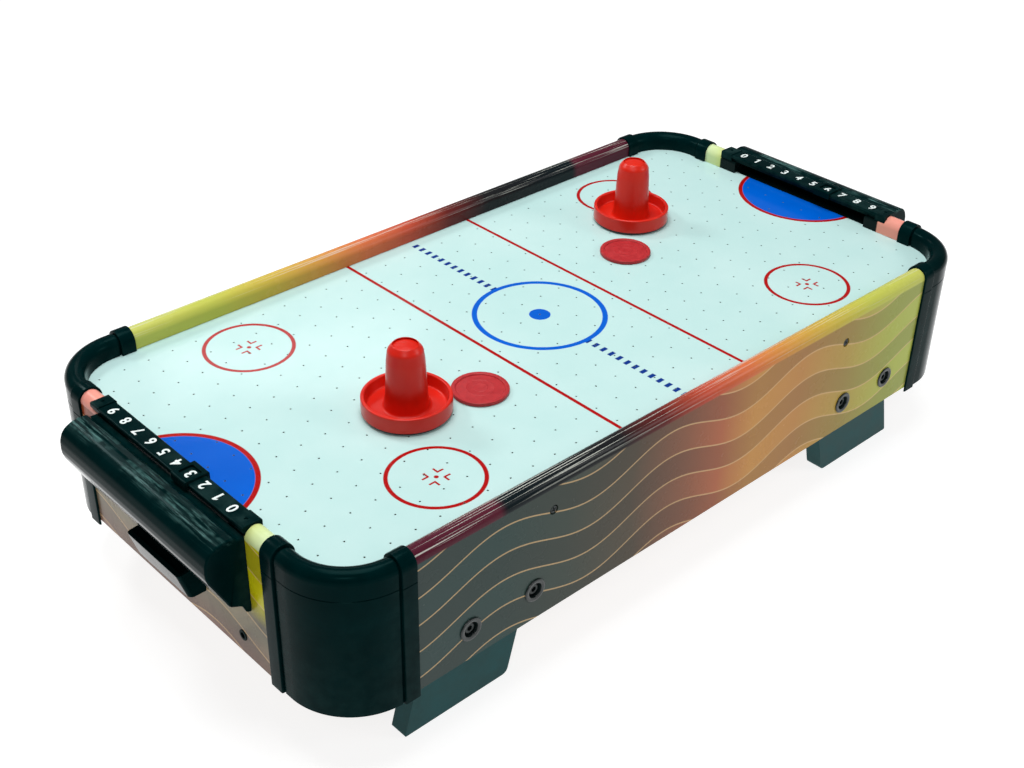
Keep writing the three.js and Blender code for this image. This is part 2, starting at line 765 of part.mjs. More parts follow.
function malletShell() {
  const low = PLAY_Z + 2 * GAP + FELT_T;
  const top = PLAY_Z + 67;
  const profile = [
    [35.2, low],
    [37.7, low],
    [MALLET_R, low + 1],
    [MALLET_R, PLAY_Z + 15.3],
    [37.6, PLAY_Z + 16.5],
    [36, PLAY_Z + 16.5],
    [35.2, PLAY_Z + 15.3],
    [34.2, PLAY_Z + 8.5],
    [32.4, PLAY_Z + 6.6],
    [21, PLAY_Z + 6.6],
    [18.6, PLAY_Z + 8.5],
    [17.6, PLAY_Z + 20],
    [16.2, PLAY_Z + 50],
    [14.6, PLAY_Z + 58],
    [10.6, PLAY_Z + 63.6],
    [5.5, PLAY_Z + 66.3],
    [0, top],
    [0, top - 2.6],
    [4.8, top - 3.4],
    [9, PLAY_Z + 61],
    [12.6, PLAY_Z + 57],
    [14, PLAY_Z + 50],
    [15.6, PLAY_Z + 12],
    [18, PLAY_Z + 4.6],
    [31, PLAY_Z + 4.6],
    [35.2, PLAY_Z + 4.6],
    [35.2, low],
  ];
  return turned(profile, 20);
}

function malletFelt() {
  return rod(36.6, PLAY_Z + GAP, PLAY_Z + GAP + FELT_T, 20);
}

function puck() {
  const low = PLAY_Z + GAP;
  const profile = [
    [0, low + 0.4],
    [PUCK_R - 4, low + 0.4],
    [PUCK_R - 3, low],
    [PUCK_R - 0.7, low],
    [PUCK_R, low + 0.7],
    [PUCK_R, low + PUCK_T - 0.7],
    [PUCK_R - 0.7, low + PUCK_T],
    [PUCK_R - 3, low + PUCK_T],
    [PUCK_R - 4, low + PUCK_T - 0.4],
    [0, low + PUCK_T - 0.4],
  ];
  return turned(profile, 20);
}

// ---- Assembly ----

addPiece("playfield_board", playfieldBoard(), MATERIAL.playfield);
addPiece("base_board", baseBoard(), MATERIAL.hardboard);

addPiece("side_wall_front", sideWall(BATTEN_X), MATERIAL.printed);
const backWall = sideWall(BATTEN_X.map((x) => -x));
addPiece("side_wall_back", backWall, MATERIAL.printed).rotation.z = Math.PI;
addPiece("end_wall_left", endWall(jackCut()), MATERIAL.printed, leftEnd);
addPiece("end_wall_right", endWall(switchCut()), MATERIAL.printed, rightEnd);

function battenWithPilots() {
  const half = INNER_Y - GAP;
  let batten = solid(block([-BATTEN_T / 2, BATTEN_T / 2], [-half, half], BATTEN_Z));
  for (const end of [-1, 1]) {
    const pilot = alongY(rod(2.2, -10, 16, 10)).translate(0, -half, BATTEN_SCREW_Z);
    batten = batten.subtract(solid(end < 0 ? pilot : pilot.rotateZ(Math.PI)));
  }
  return geometryOf(batten);
}

const batten = battenWithPilots();
addPiece("batten_left", batten, MATERIAL.pine).position.x = BATTEN_X[0];
addPiece("batten_right", batten, MATERIAL.pine).position.x = BATTEN_X[1];

// One quarter of the table at a time: x and y are the signs of its corner.
const CORNERS = {
  front_left: [-1, -1],
  front_right: [1, -1],
  back_left: [-1, 1],
  back_right: [1, 1],
};
const CAP_TURN = { front_left: 180, front_right: -90, back_left: 90, back_right: 0 };

const cap = cornerCap();
const frontLeftLeg = leg();
const bolt = solid(legBolt());
const battenScrew = solid(alongY(screw(3.9, 2, 1.8, 30)));
for (const [corner, [x, y]] of Object.entries(CORNERS)) {
  const turnedCap = cap.rotate([0, 0, CAP_TURN[corner]]).translate(x * CORNER_X, y * CORNER_Y, 0);
  addPiece(`corner_cap_${corner}`, turnedCap, MATERIAL.blackPlastic);
  addPiece(`leg_${corner}`, frontLeftLeg.scale([-x, -y, 1]), MATERIAL.blackBoard);
  BOLT_X.forEach((offset, i) => {
    const placed = bolt.translate(x * offset, 0, BOLT_Z).scale([1, -y, 1]);
    addPiece(`leg_bolt_${corner}_${i + 1}`, placed, MATERIAL.blackPlastic);
  });
  const battenX = BATTEN_X[x < 0 ? 0 : 1];
  const placed = battenScrew.translate(battenX, -OUTER_Y + 2.2, BATTEN_SCREW_Z).scale([1, -y, 1]);
  addPiece(`batten_screw_${corner}`, placed, MATERIAL.steel);
}

const hood = geometryOf(goalHood());
const tray = geometryOf(puckTray());
const woodScrew = screw(3.6, 2.2, 1.6, 13);
const earScrew = alongX(woodScrew.clone()).translate(-OUTER_X - 2 * GAP - HOOD_WALL, 0, 0);
const trayScrew = alongX(woodScrew.clone()).translate(-OUTER_X - 2 * GAP - TRAY_WALL, 0, TRAY_SCREW_Z);
for (const [name, end] of Object.entries(ENDS)) {
  addPiece(`goal_hood_${name}`, hood, MATERIAL.blackPlastic, end);
  addPiece(`puck_tray_${name}`, tray, MATERIAL.blackPlastic, end);
  addPiece(`scorer_bar_${name}`, scorerBar(), MATERIAL.blackPlastic, end);
  addPiece(`score_marker_${name}`, scoreMarker(MARKER_SCORES[name]), MATERIAL.blackPlastic, end);
  addPiece(`tray_screw_${name}`, trayScrew, MATERIAL.steel, end);
  HOOD_SCREW_Y.forEach((y, i) => {
    const piece = addPiece(`hood_screw_${name}_${i + 1}`, earScrew, MATERIAL.steel, end);
    piece.position.set(0, y, HOOD_SCREW_Z);
  });
}

addPiece("fan_frame", fanFrame(), MATERIAL.fanPlastic);
addPiece("fan_stator", fanStator(), MATERIAL.copper);
addPiece("fan_impeller", fanImpeller(), MATERIAL.fanPlastic);
addPiece("fan_guard", fanGuard(), MATERIAL.fanPlastic);
const fanScrew = screw(3.6, 2.2, 1.7, 30);
for (const side of [-1, 1]) {
  const piece = addPiece(`fan_screw_${side < 0 ? "front" : "back"}`, fanScrew, MATERIAL.steel);
  piece.position.set(side * FAN_SCREW_XY, side * FAN_SCREW_XY, FAN_Z[0] - 2 * GAP - 2);
}

addPiece("power_jack", powerJack(), MATERIAL.blackPlastic);
addPiece("switch_body", switchBody(), MATERIAL.blackPlastic, rightEnd);
addPiece("switch_rocker", switchRocker(), MATERIAL.redPlastic, rightEnd);
addPiece("jack_lead", jackLead(), MATERIAL.cable);
addPiece("fan_lead", fanLead(), MATERIAL.cable);

for (const name of ["left", "right"]) {
  const [mx, my] = MALLET_PLACES[name];
  addPiece(`mallet_shell_${name}`, malletShell(), MATERIAL.redPlastic).position.set(mx, my, 0);
  addPiece(`mallet_felt_${name}`, malletFelt(), MATERIAL.felt).position.set(mx, my, 0);
  const [px, py] = PUCK_PLACES[name];
  addPiece(`puck_${name}`, puck(), MATERIAL.puck).position.set(px, py, 0);
}

export default table;
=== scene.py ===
# The looks of a tabletop air hockey table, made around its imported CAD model.
# Lengths are in millimetres while a piece is made, and in metres once it is an object.
import math

import bmesh
import bpy
from mathutils import Matrix, Vector
from mathutils.geometry import delaunay_2d_cdt


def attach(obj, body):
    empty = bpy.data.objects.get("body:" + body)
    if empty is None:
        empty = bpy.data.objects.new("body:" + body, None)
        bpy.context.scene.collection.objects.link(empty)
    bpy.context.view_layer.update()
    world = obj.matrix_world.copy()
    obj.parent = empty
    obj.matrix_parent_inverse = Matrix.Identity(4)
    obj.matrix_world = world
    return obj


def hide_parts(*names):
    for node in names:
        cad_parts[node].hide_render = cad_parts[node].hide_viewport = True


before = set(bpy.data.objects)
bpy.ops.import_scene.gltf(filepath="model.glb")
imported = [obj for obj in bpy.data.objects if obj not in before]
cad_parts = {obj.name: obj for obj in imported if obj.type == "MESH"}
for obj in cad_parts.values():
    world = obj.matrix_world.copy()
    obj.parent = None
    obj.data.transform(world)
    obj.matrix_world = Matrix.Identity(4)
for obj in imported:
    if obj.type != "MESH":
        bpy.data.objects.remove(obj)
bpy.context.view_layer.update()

MM = 0.001

# ---------------------------------------------------------------- sizes, in millimetres

PLAY_Z = 178
INNER_X, INNER_Y = 377, 190
BOARD = 18
OUTER_X, OUTER_Y = INNER_X + BOARD, INNER_Y + BOARD
RAIL_R = 9
RAIL_Z = 187
WALL_BOTTOM = 64
PLAY_T = 4
BASE_Z, BASE_T = 116, 4
TONGUE = 4.5
GAP = 0.3
CORNER_R = 44
CORNER_X, CORNER_Y = INNER_X - CORNER_R, INNER_Y - CORNER_R
CAP_SHORT, CAP_LONG, COLLAR_LENGTH, COLLAR_PROUD = 56.5, 65.5, 14, 2.2
COVERED = 6.5
CAP_BOTTOM, CAP_WALL = 60, 2.5
BOLT_X, BOLT_Z = (201.6, 269), 95
BATTEN_X, BATTEN_SCREW_Z = (-183, 192), 165.5
MOUTH_Y, MOUTH_FLOOR = (-82, 90.5), PLAY_Z - 0.6
BAR_X, BAR_Y, BAR_Z = (-396, -379), (-103.5, 114.5), (190, 197)
BAR_HEAD_Z = 193.3
BAR_STOPS, STOP_PROUD = (-89, 102.5), 0.8
BAR_PEG_Y = (-95, 104)
DIGIT_PITCH, DIGIT_0_Y = 18.9, -78.5
MARKER_LENGTH = 20
HOOD_Y, HOOD_WALL, HOOD_BOTTOM = (-104, 108), 2.5, PLAY_Z - 47.5
HOOD_SCREW_Y, HOOD_SCREW_Z = (-96.8, 100.8), 126.5
TRAY_Y, TRAY_WALL, TRAY_SCREW_Z = 38, 2.2, 112
FAN_HALF, FAN_BORE_R, FAN_SCREW_XY = 60, 57, 52.5
FAN_LOW, FAN_HIGH = 91, BASE_Z - GAP
HUB_R = 21
SOCKET_Y, SOCKET_Z = -87, 83
MALLET_R = 38.5
PUCK_R, PUCK_T = 25.2, 3.5
MALLETS = {"left": (-193, -42), "right": (207, 80)}
PUCKS = {"left": (-127.5, -60), "right": (148, 31.5)}
MARKER_SCORES = {"left": 3, "right": 6}
HOLE_PITCH, HOLE_R = 24, 0.8
CORNERS = {"front_left": (-1, -1), "front_right": (1, -1), "back_left": (-1, 1), "back_right": (1, 1)}
CAP_TURN = {"front_left": 180, "front_right": -90, "back_left": 90, "back_right": 0}
HALF_TURN = Matrix.Rotation(math.pi, 4, "Z")
ENDS = {"left": Matrix.Identity(4), "right": HALF_TURN}


# ---------------------------------------------------------------- materials


def srgb(red, green, blue):
    """A linear colour from 0 to 255 screen values."""
    out = []
    for c in (red, green, blue):
        c /= 255
        out.append(c / 12.92 if c <= 0.04045 else ((c + 0.055) / 1.055) ** 2.4)
    return (*out, 1.0)


def operator(kind):
    """A Value's method that does one kind of maths with another value."""
    return lambda value, other=0.0: value.shader.math(kind, value, other)


class Value:
    """A number that a material computes over the surface."""

    def __init__(self, shader, socket):
        self.shader = shader
        self.socket = socket

    __add__ = operator("ADD")
    __sub__ = operator("SUBTRACT")
    __mul__ = operator("MULTIPLY")
    __truediv__ = operator("DIVIDE")
    __abs__ = operator("ABSOLUTE")
    greater = operator("MAXIMUM")
    wave = operator("SINE")
    fraction = operator("FRACT")


class Shader:
    """A Principled material built node by node."""

    def __init__(self, name, roughness=0.5, metallic=0.0, **sockets):
        self.mat = bpy.data.materials.new(name)
        self.mat.use_nodes = True
        self.tree = self.mat.node_tree
        self.tree.nodes.clear()
        self.out = self.tree.nodes.new("ShaderNodeOutputMaterial")
        self.bsdf = self.tree.nodes.new("ShaderNodeBsdfPrincipled")
        self.tree.links.new(self.bsdf.outputs[0], self.out.inputs[0])
        self.bsdf.inputs["Roughness"].default_value = roughness
        self.bsdf.inputs["Metallic"].default_value = metallic
        for key, value in sockets.items():
            self.bsdf.inputs[key.replace("_", " ")].default_value = value
        coords = self.tree.nodes.new("ShaderNodeTexCoord")
        self.place = coords.outputs["Object"]
        self._xyz = None

    def node(self, kind, **props):
        made = self.tree.nodes.new(kind)
        for key, value in props.items():
            setattr(made, key, value)
        return made

    def feed(self, socket, value):
        if isinstance(value, Value):
            value = value.socket
        if isinstance(value, bpy.types.NodeSocket):
            self.tree.links.new(value, socket)
        else:
            socket.default_value = value

    def math(self, kind, *values):
        made = self.node("ShaderNodeMath", operation=kind)
        for socket, value in zip(made.inputs, values):
            if value is not None:
                self.feed(socket, value)
        return Value(self, made.outputs[0])

    def xyz(self):
        """The place on the object in millimetres."""
        if self._xyz is None:
            split = self.node("ShaderNodeSeparateXYZ")
            self.feed(split.inputs[0], self.place)
            self._xyz = [Value(self, s) * 1000.0 for s in split.outputs]
        return self._xyz

    def vector(self, x, y):
        made = self.node("ShaderNodeCombineXYZ")
        for socket, value in zip(made.inputs, (x, y, 0.0)):
            self.feed(socket, value)
        return made.outputs[0]

    def stretched(self, x, y, z):
        """The object's place in metres, scaled on each axis."""
        made = self.node("ShaderNodeMapping")
        self.feed(made.inputs["Vector"], self.place)
        made.inputs["Scale"].default_value = (x, y, z)
        return made.outputs[0]

    def distance(self, x, y):
        made = self.node("ShaderNodeVectorMath", operation="LENGTH")
        self.feed(made.inputs[0], self.vector(x, y))
        return Value(self, made.outputs["Value"])

    def noise(self, scale, detail=2.0, rough=0.5, where=None, distortion=0.0):
        made = self.node("ShaderNodeTexNoise")
        self.feed(made.inputs["Vector"], self.place if where is None else where)
        made.inputs["Scale"].default_value = scale
        made.inputs["Detail"].default_value = detail
        made.inputs["Roughness"].default_value = rough
        made.inputs["Distortion"].default_value = distortion
        return Value(self, made.outputs["Fac"])

    def spread(self, value, low, high, to_low=0.0, to_high=1.0):
        made = self.node("ShaderNodeMapRange")
        for socket, given in zip(made.inputs, (value, low, high, to_low, to_high)):
            self.feed(socket, given)
        return Value(self, made.outputs[0])

    def inside(self, distance, edge, soft=0.35):
        """1 where a distance is under an edge, 0 past it."""
        return self.spread(distance, edge + soft, edge - soft)

    def mix(self, amount, one, two):
        made = self.node("ShaderNodeMix", data_type="RGBA")
        for index, given in ((0, amount), (6, one), (7, two)):
            self.feed(made.inputs[index], given)
        return made.outputs[2]

    def ramp(self, value, stops):
        """Colours along a value: stops are (value, red, green, blue)."""
        low, high = stops[0][0], stops[-1][0]
        made = self.node("ShaderNodeValToRGB")
        elements = made.color_ramp.elements
        while len(elements) < len(stops):
            elements.new(0.5)
        for element, (at, *_) in zip(elements, stops):
            element.position = (at - low) / (high - low)
        for element, (_, *colour) in zip(elements, stops):
            element.color = srgb(*colour)
        self.feed(made.inputs[0], self.spread(value, low, high))
        return made.outputs[0]

    def bump(self, height, strength, distance=0.0002):
        made = self.node("ShaderNodeBump")
        made.inputs["Strength"].default_value = strength
        made.inputs["Distance"].default_value = distance
        self.feed(made.inputs["Height"], height)
        self.feed(self.bsdf.inputs["Normal"], made.outputs[0])

    def grazing_gloss(self, most):
        """A clear coat that only shows where the surface is seen at a shallow angle."""
        facing = self.node("ShaderNodeLayerWeight").outputs["Facing"]
        self.feed(self.bsdf.inputs["Coat Weight"], self.spread(facing, 0.62, 0.95, 0.0, most))

    def colour(self, value):
        self.feed(self.bsdf.inputs["Base Color"], value)

    def roughness(self, value):
        self.feed(self.bsdf.inputs["Roughness"], value)


RED_INK = srgb(170, 12, 12)
BLUE_INK = srgb(0, 88, 196)
NAVY_INK = srgb(8, 50, 132)


def playfield_material():
    """Pale melamine with the rink's lines printed on it."""
    s = Shader("playfield_print", roughness=0.15, Specular_IOR_Level=0.16)
    x, y, z = s.xyz()
    ax, ay = abs(x), abs(y)
    blotch = s.noise(9, 3, 0.6)
    base = s.mix(s.spread(blotch, 0.35, 0.7), srgb(185, 219, 216), srgb(194, 224, 221))
    # Each ink is a mask that later marks are added to.
    crease = s.distance(ax - 394.0, y)
    red = s.inside(abs(crease - 67.0), 2.2)
    red = red.greater(s.inside(abs(ax - 77.7), 1.8))
    u, v = abs(ax - 234.4), abs(ay - 128.3)
    spot = s.distance(u, v)
    red = red.greater(s.inside(abs(spot - 39.5), 1.8))
    red = red.greater(s.inside(spot, 2.0))
    red = red.greater(s.inside(abs(u - 7.4), 3.4) * s.inside(abs(v - 4.3), 0.95))
    red = red.greater(s.inside(abs(u - 4.9), 0.95) * s.inside(abs(v - 6.7), 3.3))
    centre = s.distance(x, y)
    blue = s.inside(crease, 65.0)
    blue = blue.greater(s.inside(abs(centre - 60.6), 2.5))
    blue = blue.greater(s.inside(centre, 10.0))
    dash = abs(((ay - 72.7) / 9.7 + 10.5).fraction() - 0.5) * 9.7
    dashes = s.inside(dash, 2.2) * s.inside(ax, 3.7) * s.inside(abs(ay - 124.0), 62.5)
    printed = s.mix(dashes, base, NAVY_INK)
    printed = s.mix(blue, printed, s.mix(s.spread(blotch, 0.35, 0.7), BLUE_INK, srgb(0, 96, 206)))
    printed = s.mix(red, printed, RED_INK)
    # A darker ring round each air hole: painted shade at the hole's mouth, with some dust.
    hole_x = abs((x / float(HOLE_PITCH) + 100.5).fraction() - 0.5) * float(HOLE_PITCH)
    hole_y = abs((y / float(HOLE_PITCH) + 100.5).fraction() - 0.5) * float(HOLE_PITCH)
    rim = s.inside(s.distance(hole_x, hole_y), HOLE_R + 0.25, 0.3)
    printed = s.mix(rim * 0.45, printed, srgb(120, 144, 142))
    edge = s.spread(z, PLAY_Z - 0.9, PLAY_Z - 0.3)
    s.colour(s.mix(edge, srgb(120, 92, 66), printed))
    scuffs = s.noise(1, 4, 0.6, s.stretched(30, 260, 1))
    s.roughness(s.spread(scuffs, 0.3, 0.75, 0.13, 0.2))
    s.bump(s.noise(35, 2, 0.5), 0.05, 0.0004)
    return s.mat


def black_plastic(name="black_plastic", roughness=0.22, grain=0.06, painted_crown=False):
    """Moulded black plastic with a fine grain, finger smudges and rubbed edges; on the hood, a painted
    highlight along the crown.
    """
    s = Shader(name, roughness=roughness, Specular_IOR_Level=0.03, Coat_Roughness=0.12,
               Specular_Tint=(0.3, 1.0, 0.97, 1))
    smudge = s.noise(28, 4, 0.62, distortion=0.4)
    rub = s.node("ShaderNodeNewGeometry").outputs["Pointiness"]
    worn = s.spread(Value(s, rub), 0.53, 0.62) * s.spread(s.noise(90, 3), 0.35, 0.65)
    base = s.mix(s.spread(smudge, 0.3, 0.75), srgb(0, 20, 21), srgb(0, 29, 30))
    base = s.mix(worn * 0.35, base, srgb(40, 66, 64))
    if painted_crown:
        # Painted highlight along the crown: pale teal streaks and patches that stand in for the reflection
        # of the lights.
        x, y, z = s.xyz()
        crown = s.spread(z, PLAY_Z + 10.0, PLAY_Z + 14.0) * s.inside(abs(abs(x) - 413.0), 8.0, 4.0)
        streaks = s.noise(1, 4, 0.65, s.stretched(420, 26, 420))
        patches = s.noise(34, 3, 0.6)
        crown_highlight = crown * s.spread(streaks, 0.46, 0.62) * s.spread(patches, 0.4, 0.6)
        base = s.mix(crown_highlight * 0.75, base, srgb(86, 128, 124))
    s.colour(base)
    s.roughness(s.spread(smudge, 0.3, 0.8, roughness - 0.05, roughness + 0.08))
    s.bump(s.noise(1400, 2, 0.55), grain, 0.0002)
    s.grazing_gloss(0.5)
    return s.mat


# The colours along the walls' printed film, with a painted sheen on the end rails: a place in millimetres,
# then red, green and blue.
PRINT_GROUND = [
    (-330, 56, 74, 72), (-235, 50, 72, 69), (-160, 62, 73, 66), (-90, 86, 76, 62),
    (-30, 138, 88, 64), (20, 176, 100, 66), (70, 198, 142, 72), (130, 190, 134, 70),
    (200, 178, 150, 68), (270, 172, 180, 76), (330, 178, 190, 92),
]
RAIL_GROUND = [
    (-330, 78, 26, 42), (-238, 88, 34, 48), (-231, 14, 26, 30), (-105, 30, 30, 32),
    (-55, 98, 36, 34), (0, 190, 80, 58), (55, 210, 112, 70), (110, 206, 148, 70),
    (165, 200, 174, 72), (230, 190, 194, 84), (330, 196, 200, 100),
]
# The end rails' two pale green-white stops at the front end are painted sheen on the rail's top, over the
# lime print.
END_RAIL_WITH_SHEEN = [
    (-150, 220, 240, 206), (-112, 208, 224, 160), (-92, 200, 206, 88), (90, 232, 158, 136),
    (150, 236, 150, 138),
]
WAVE_PALE = srgb(222, 186, 136)
WAVE_DARK = srgb(54, 50, 44)
BARE_BOARD = srgb(140, 108, 78)
WAVE_PITCH, WAVE_HEIGHT, WAVE_RUN = 52.0, 11.0, 30.0


def waved(s, ground, along, z):
    """Plain, evenly spaced waves over a ground: flat bands with a thin pale line along each edge."""
    across = ((z + (along / WAVE_RUN).wave() * WAVE_HEIGHT) / WAVE_PITCH + 20.0).fraction()
    banded = s.mix(s.spread(abs(across - 0.5), 0.24, 0.26, 0.0, 0.3), ground, WAVE_DARK)
    return s.mix(s.inside(abs(abs(across - 0.5) - 0.25), 0.012, 0.006) * 0.7, banded, WAVE_PALE)


def printed_film(s, face, rail, inward, z, outer):
    """The film's three parts: the outer face, the rounded top, and bare board inside and below."""
    top = s.spread(z, 8.0, 9.4).greater(s.spread(inward, -outer + 5.0, -outer + 7.0))
    inside_face = s.spread(z, -2.0, -2.6) * s.spread(inward, -outer + 4.0, -outer + 6.0)
    return s.mix(inside_face.greater(s.spread(z, -113.2, -113.8)), s.mix(top, face, rail), BARE_BOARD)


def film_shader(name, turned):
    """A printed film's shader, with the place measured as on the front or left wall."""
    s = Shader(name, roughness=0.24, Specular_IOR_Level=0.12, Coat_Roughness=0.08)
    s.grazing_gloss(0.5)
    x, y, z = s.xyz()
    if turned:
        x, y = x * -1.0, y * -1.0
    s.roughness(s.spread(s.noise(40, 3, 0.6), 0.3, 0.75, 0.2, 0.32))
    s.bump(s.noise(70, 3, 0.5), 0.05, 0.0004)
    return s, x, y, z - float(PLAY_Z)


def side_print(name, turned):
    """The long walls' film: a run of colours from dusk to lime under plain waves."""
    s, x, y, z = film_shader(name, turned)
    ground = s.ramp(x + (s.noise(7, 1) - 0.5) * 40.0, PRINT_GROUND)
    rail = s.ramp(x + (s.noise(16, 1) - 0.5) * 8.0, RAIL_GROUND)
    # Fine pale streaks along the top of the front rail, strongest on its dark half: painted reflections of
    # the lights.
    reflection_streaks = s.spread(s.noise(1, 3, 0.7, s.stretched(4, 520, 520)), 0.56, 0.62)
    reflection_streaks = reflection_streaks * s.spread(z, 11.0, 14.0) * s.spread(x, 60, -100, 0.5, 0.8)
    rail = s.mix(reflection_streaks, rail, srgb(214, 216, 206))
    s.colour(printed_film(s, waved(s, ground, x, z), rail, y, z, OUTER_Y))
    return s.mat


def end_print(name, turned):
    """The end walls' film: lime at the front, beige in the middle, salmon at the back."""
    s, x, y, z = film_shader(name, turned)
    marble = s.noise(14, 5, 0.6, distortion=0.9)
    low = s.mix(s.spread(marble, 0.3, 0.7), srgb(110, 104, 88), srgb(150, 138, 110))
    low = s.mix(s.spread(z, -82, -112) * 0.6, low, srgb(136, 84, 78))
    lime = s.mix(s.spread(marble, 0.35, 0.65), srgb(206, 202, 16), srgb(186, 172, 12))
    salmon = s.mix(s.spread(marble, 0.35, 0.65), srgb(200, 96, 58), srgb(160, 72, 34))
    above = s.spread(z, -66, -50)
    face = s.mix(above * s.spread(y, -58, -66), low, lime)
    face = s.mix(above * s.spread(y, 58, 66), face, salmon)
    rail = s.ramp(y, END_RAIL_WITH_SHEEN)
    film = printed_film(s, waved(s, face, y, z), rail, x, z, OUTER_X)
    # Near black on the wall inside the goal mouth and under the hood: painted shade.
    mouth_shade = s.inside(abs(y - 2.0), 105.0, 0.5) * s.spread(z, -1.0, -0.7)
    s.colour(s.mix(mouth_shade, film, srgb(6, 20, 20)))
    return s.mat


def speckled(name, one, two, scale, roughness, bump, detail=3, metallic=0.0, stretch=None, **sockets):
    """A surface that varies between two colours, with a matching relief."""
    s = Shader(name, roughness=roughness, metallic=metallic, **sockets)
    where = s.stretched(*stretch) if stretch else None
    grain = s.noise(scale, detail, 0.6, where)
    s.colour(s.mix(s.spread(grain, 0.3, 0.7), srgb(*one), srgb(*two)))
    s.roughness(s.spread(grain, 0.25, 0.75, roughness * 0.85, min(1.0, roughness * 1.2)))
    s.bump(grain, bump, 0.0003)
    return s.mat


def gloss_red():
    """The mallets' shiny moulded shell: faint flow marks, fine scratches and rubbed rims."""
    s = Shader("mallet_plastic", roughness=0.34, Specular_IOR_Level=0.36, Coat_Roughness=0.08)
    s.grazing_gloss(0.5)
    flow = s.noise(18, 3, 0.5, distortion=0.8)
    scratch = s.noise(1, 4, 0.75, s.stretched(700, 90, 300))
    base = s.mix(s.spread(flow, 0.3, 0.7), srgb(206, 22, 6), srgb(214, 32, 10))
    rub = Value(s, s.node("ShaderNodeNewGeometry").outputs["Pointiness"])
    s.colour(s.mix(s.spread(rub, 0.53, 0.6) * 0.3, base, srgb(232, 96, 66)))
    s.roughness(s.spread(scratch, 0.35, 0.75, 0.3, 0.42))
    s.bump(s.noise(60, 2, 0.5), 0.05, 0.0004)
    return s.mat


def copper_windings():
    s = Shader("copper_windings", roughness=0.35, metallic=1.0)
    z = s.xyz()[2]
    turns = (z * 14.0 + (s.noise(60, 1) - 0.5) * 3.0).wave()
    s.colour(s.mix(s.spread(turns, -1.0, 1.0), srgb(118, 58, 28), srgb(196, 118, 66)))
    s.bump(turns, 0.5, 0.0003)
    return s.mat


M = {
    "playfield": playfield_material(),
    "front": side_print("front_wall_print", False),
    "back": side_print("back_wall_print", True),
    "left": end_print("left_wall_print", False),
    "right": end_print("right_wall_print", True),
    "black": black_plastic(),
    # The hood's plastic carries the crown's painted highlight.
    "hood": black_plastic("hood_plastic", 0.2, 0.05, True),
    "black_fan": black_plastic("fan_plastic", 0.5, 0.3),
    "leg": speckled("leg_film", (20, 66, 67), (28, 76, 78), 60, 0.42, 0.1, Specular_IOR_Level=0.1),
    "hardboard": speckled("hardboard", (120, 84, 54), (150, 110, 74), 300, 0.8, 0.35, 5),
    "pine": speckled("pine", (186, 146, 98), (214, 178, 128), 1, 0.7, 0.2, 4, stretch=(260, 14, 260)),
    "steel": speckled("zinc_steel", (150, 152, 152), (196, 198, 198), 260, 0.32, 0.1, metallic=1.0),
    "bolt": speckled("black_steel", (18, 26, 26), (38, 48, 48), 200, 0.34, 0.12, metallic=0.4),
    "bolt_rim": speckled("bolt_cup", (12, 22, 22), (26, 38, 38), 160, 0.28, 0.1),
    "copper": copper_windings(),
    "rocker": speckled("rocker_plastic", (176, 24, 18), (194, 36, 26), 40, 0.25, 0.05),
    "lead": speckled("lead_sheath", (16, 17, 18), (30, 31, 33), 500, 0.5, 0.15),
    "mallet": gloss_red(),
    "felt": speckled("felt", (20, 24, 26), (52, 58, 60), 1800, 0.95, 0.9, 4, Sheen_Weight=0.5),
    "puck": speckled("puck_plastic", (166, 34, 40), (184, 46, 50), 240, 0.42, 0.12, Specular_IOR_Level=0.3),
    "ink": speckled("white_ink", (214, 226, 224), (240, 248, 246), 300, 0.5, 0.1),
}


# ---------------------------------------------------------------- mesh tools


def joined(*parts):
    """One bmesh from several."""
    whole = parts[0]
    for part in parts[1:]:
        mesh = bpy.data.meshes.new("part")
        part.to_mesh(mesh)
        whole.from_mesh(mesh)
        bpy.data.meshes.remove(mesh)
        part.free()
    return whole


def loft(rings):
    """A skin through rings of points with the same count, with a face at each end."""
    bm = bmesh.new()
    rows = [[bm.verts.new(p) for p in ring] for ring in rings]
    count = len(rows[0])
    for one, two in zip(rows, rows[1:]):
        for i in range(count):
            j = (i + 1) % count
            bm.faces.new((one[i], one[j], two[j], two[i]))
    bm.faces.new(rows[0])
    bm.faces.new(rows[-1])
    bmesh.ops.recalc_face_normals(bm, faces=bm.faces)
    return bm


def lathe(profile, segments=72, centre=(0, 0)):
    """A closed (radius, height) profile turned about Z. Points on the axis become one vertex."""
    bm = bmesh.new()
    columns = []
    for r, z in profile:
        if abs(r) < 1e-6:
            columns.append([bm.verts.new((centre[0], centre[1], z))])
            continue
        ring = []
        for i in range(segments):
            a = 2 * math.pi * i / segments
            ring.append(bm.verts.new((centre[0] + r * math.cos(a), centre[1] + r * math.sin(a), z)))
        columns.append(ring)
    pairs = list(zip(columns, columns[1:]))
    if len(columns[0]) > 1:
        pairs.append((columns[-1], columns[0]))
    for low, high in pairs:
        for i in range(segments):
            j = (i + 1) % segments
            corners = []
            for v in (low[i % len(low)], low[j % len(low)], high[j % len(high)], high[i % len(high)]):
                if v not in corners:
                    corners.append(v)
            if len(corners) > 2:
                bm.faces.new(corners)
    bmesh.ops.recalc_face_normals(bm, faces=bm.faces)
    return bm


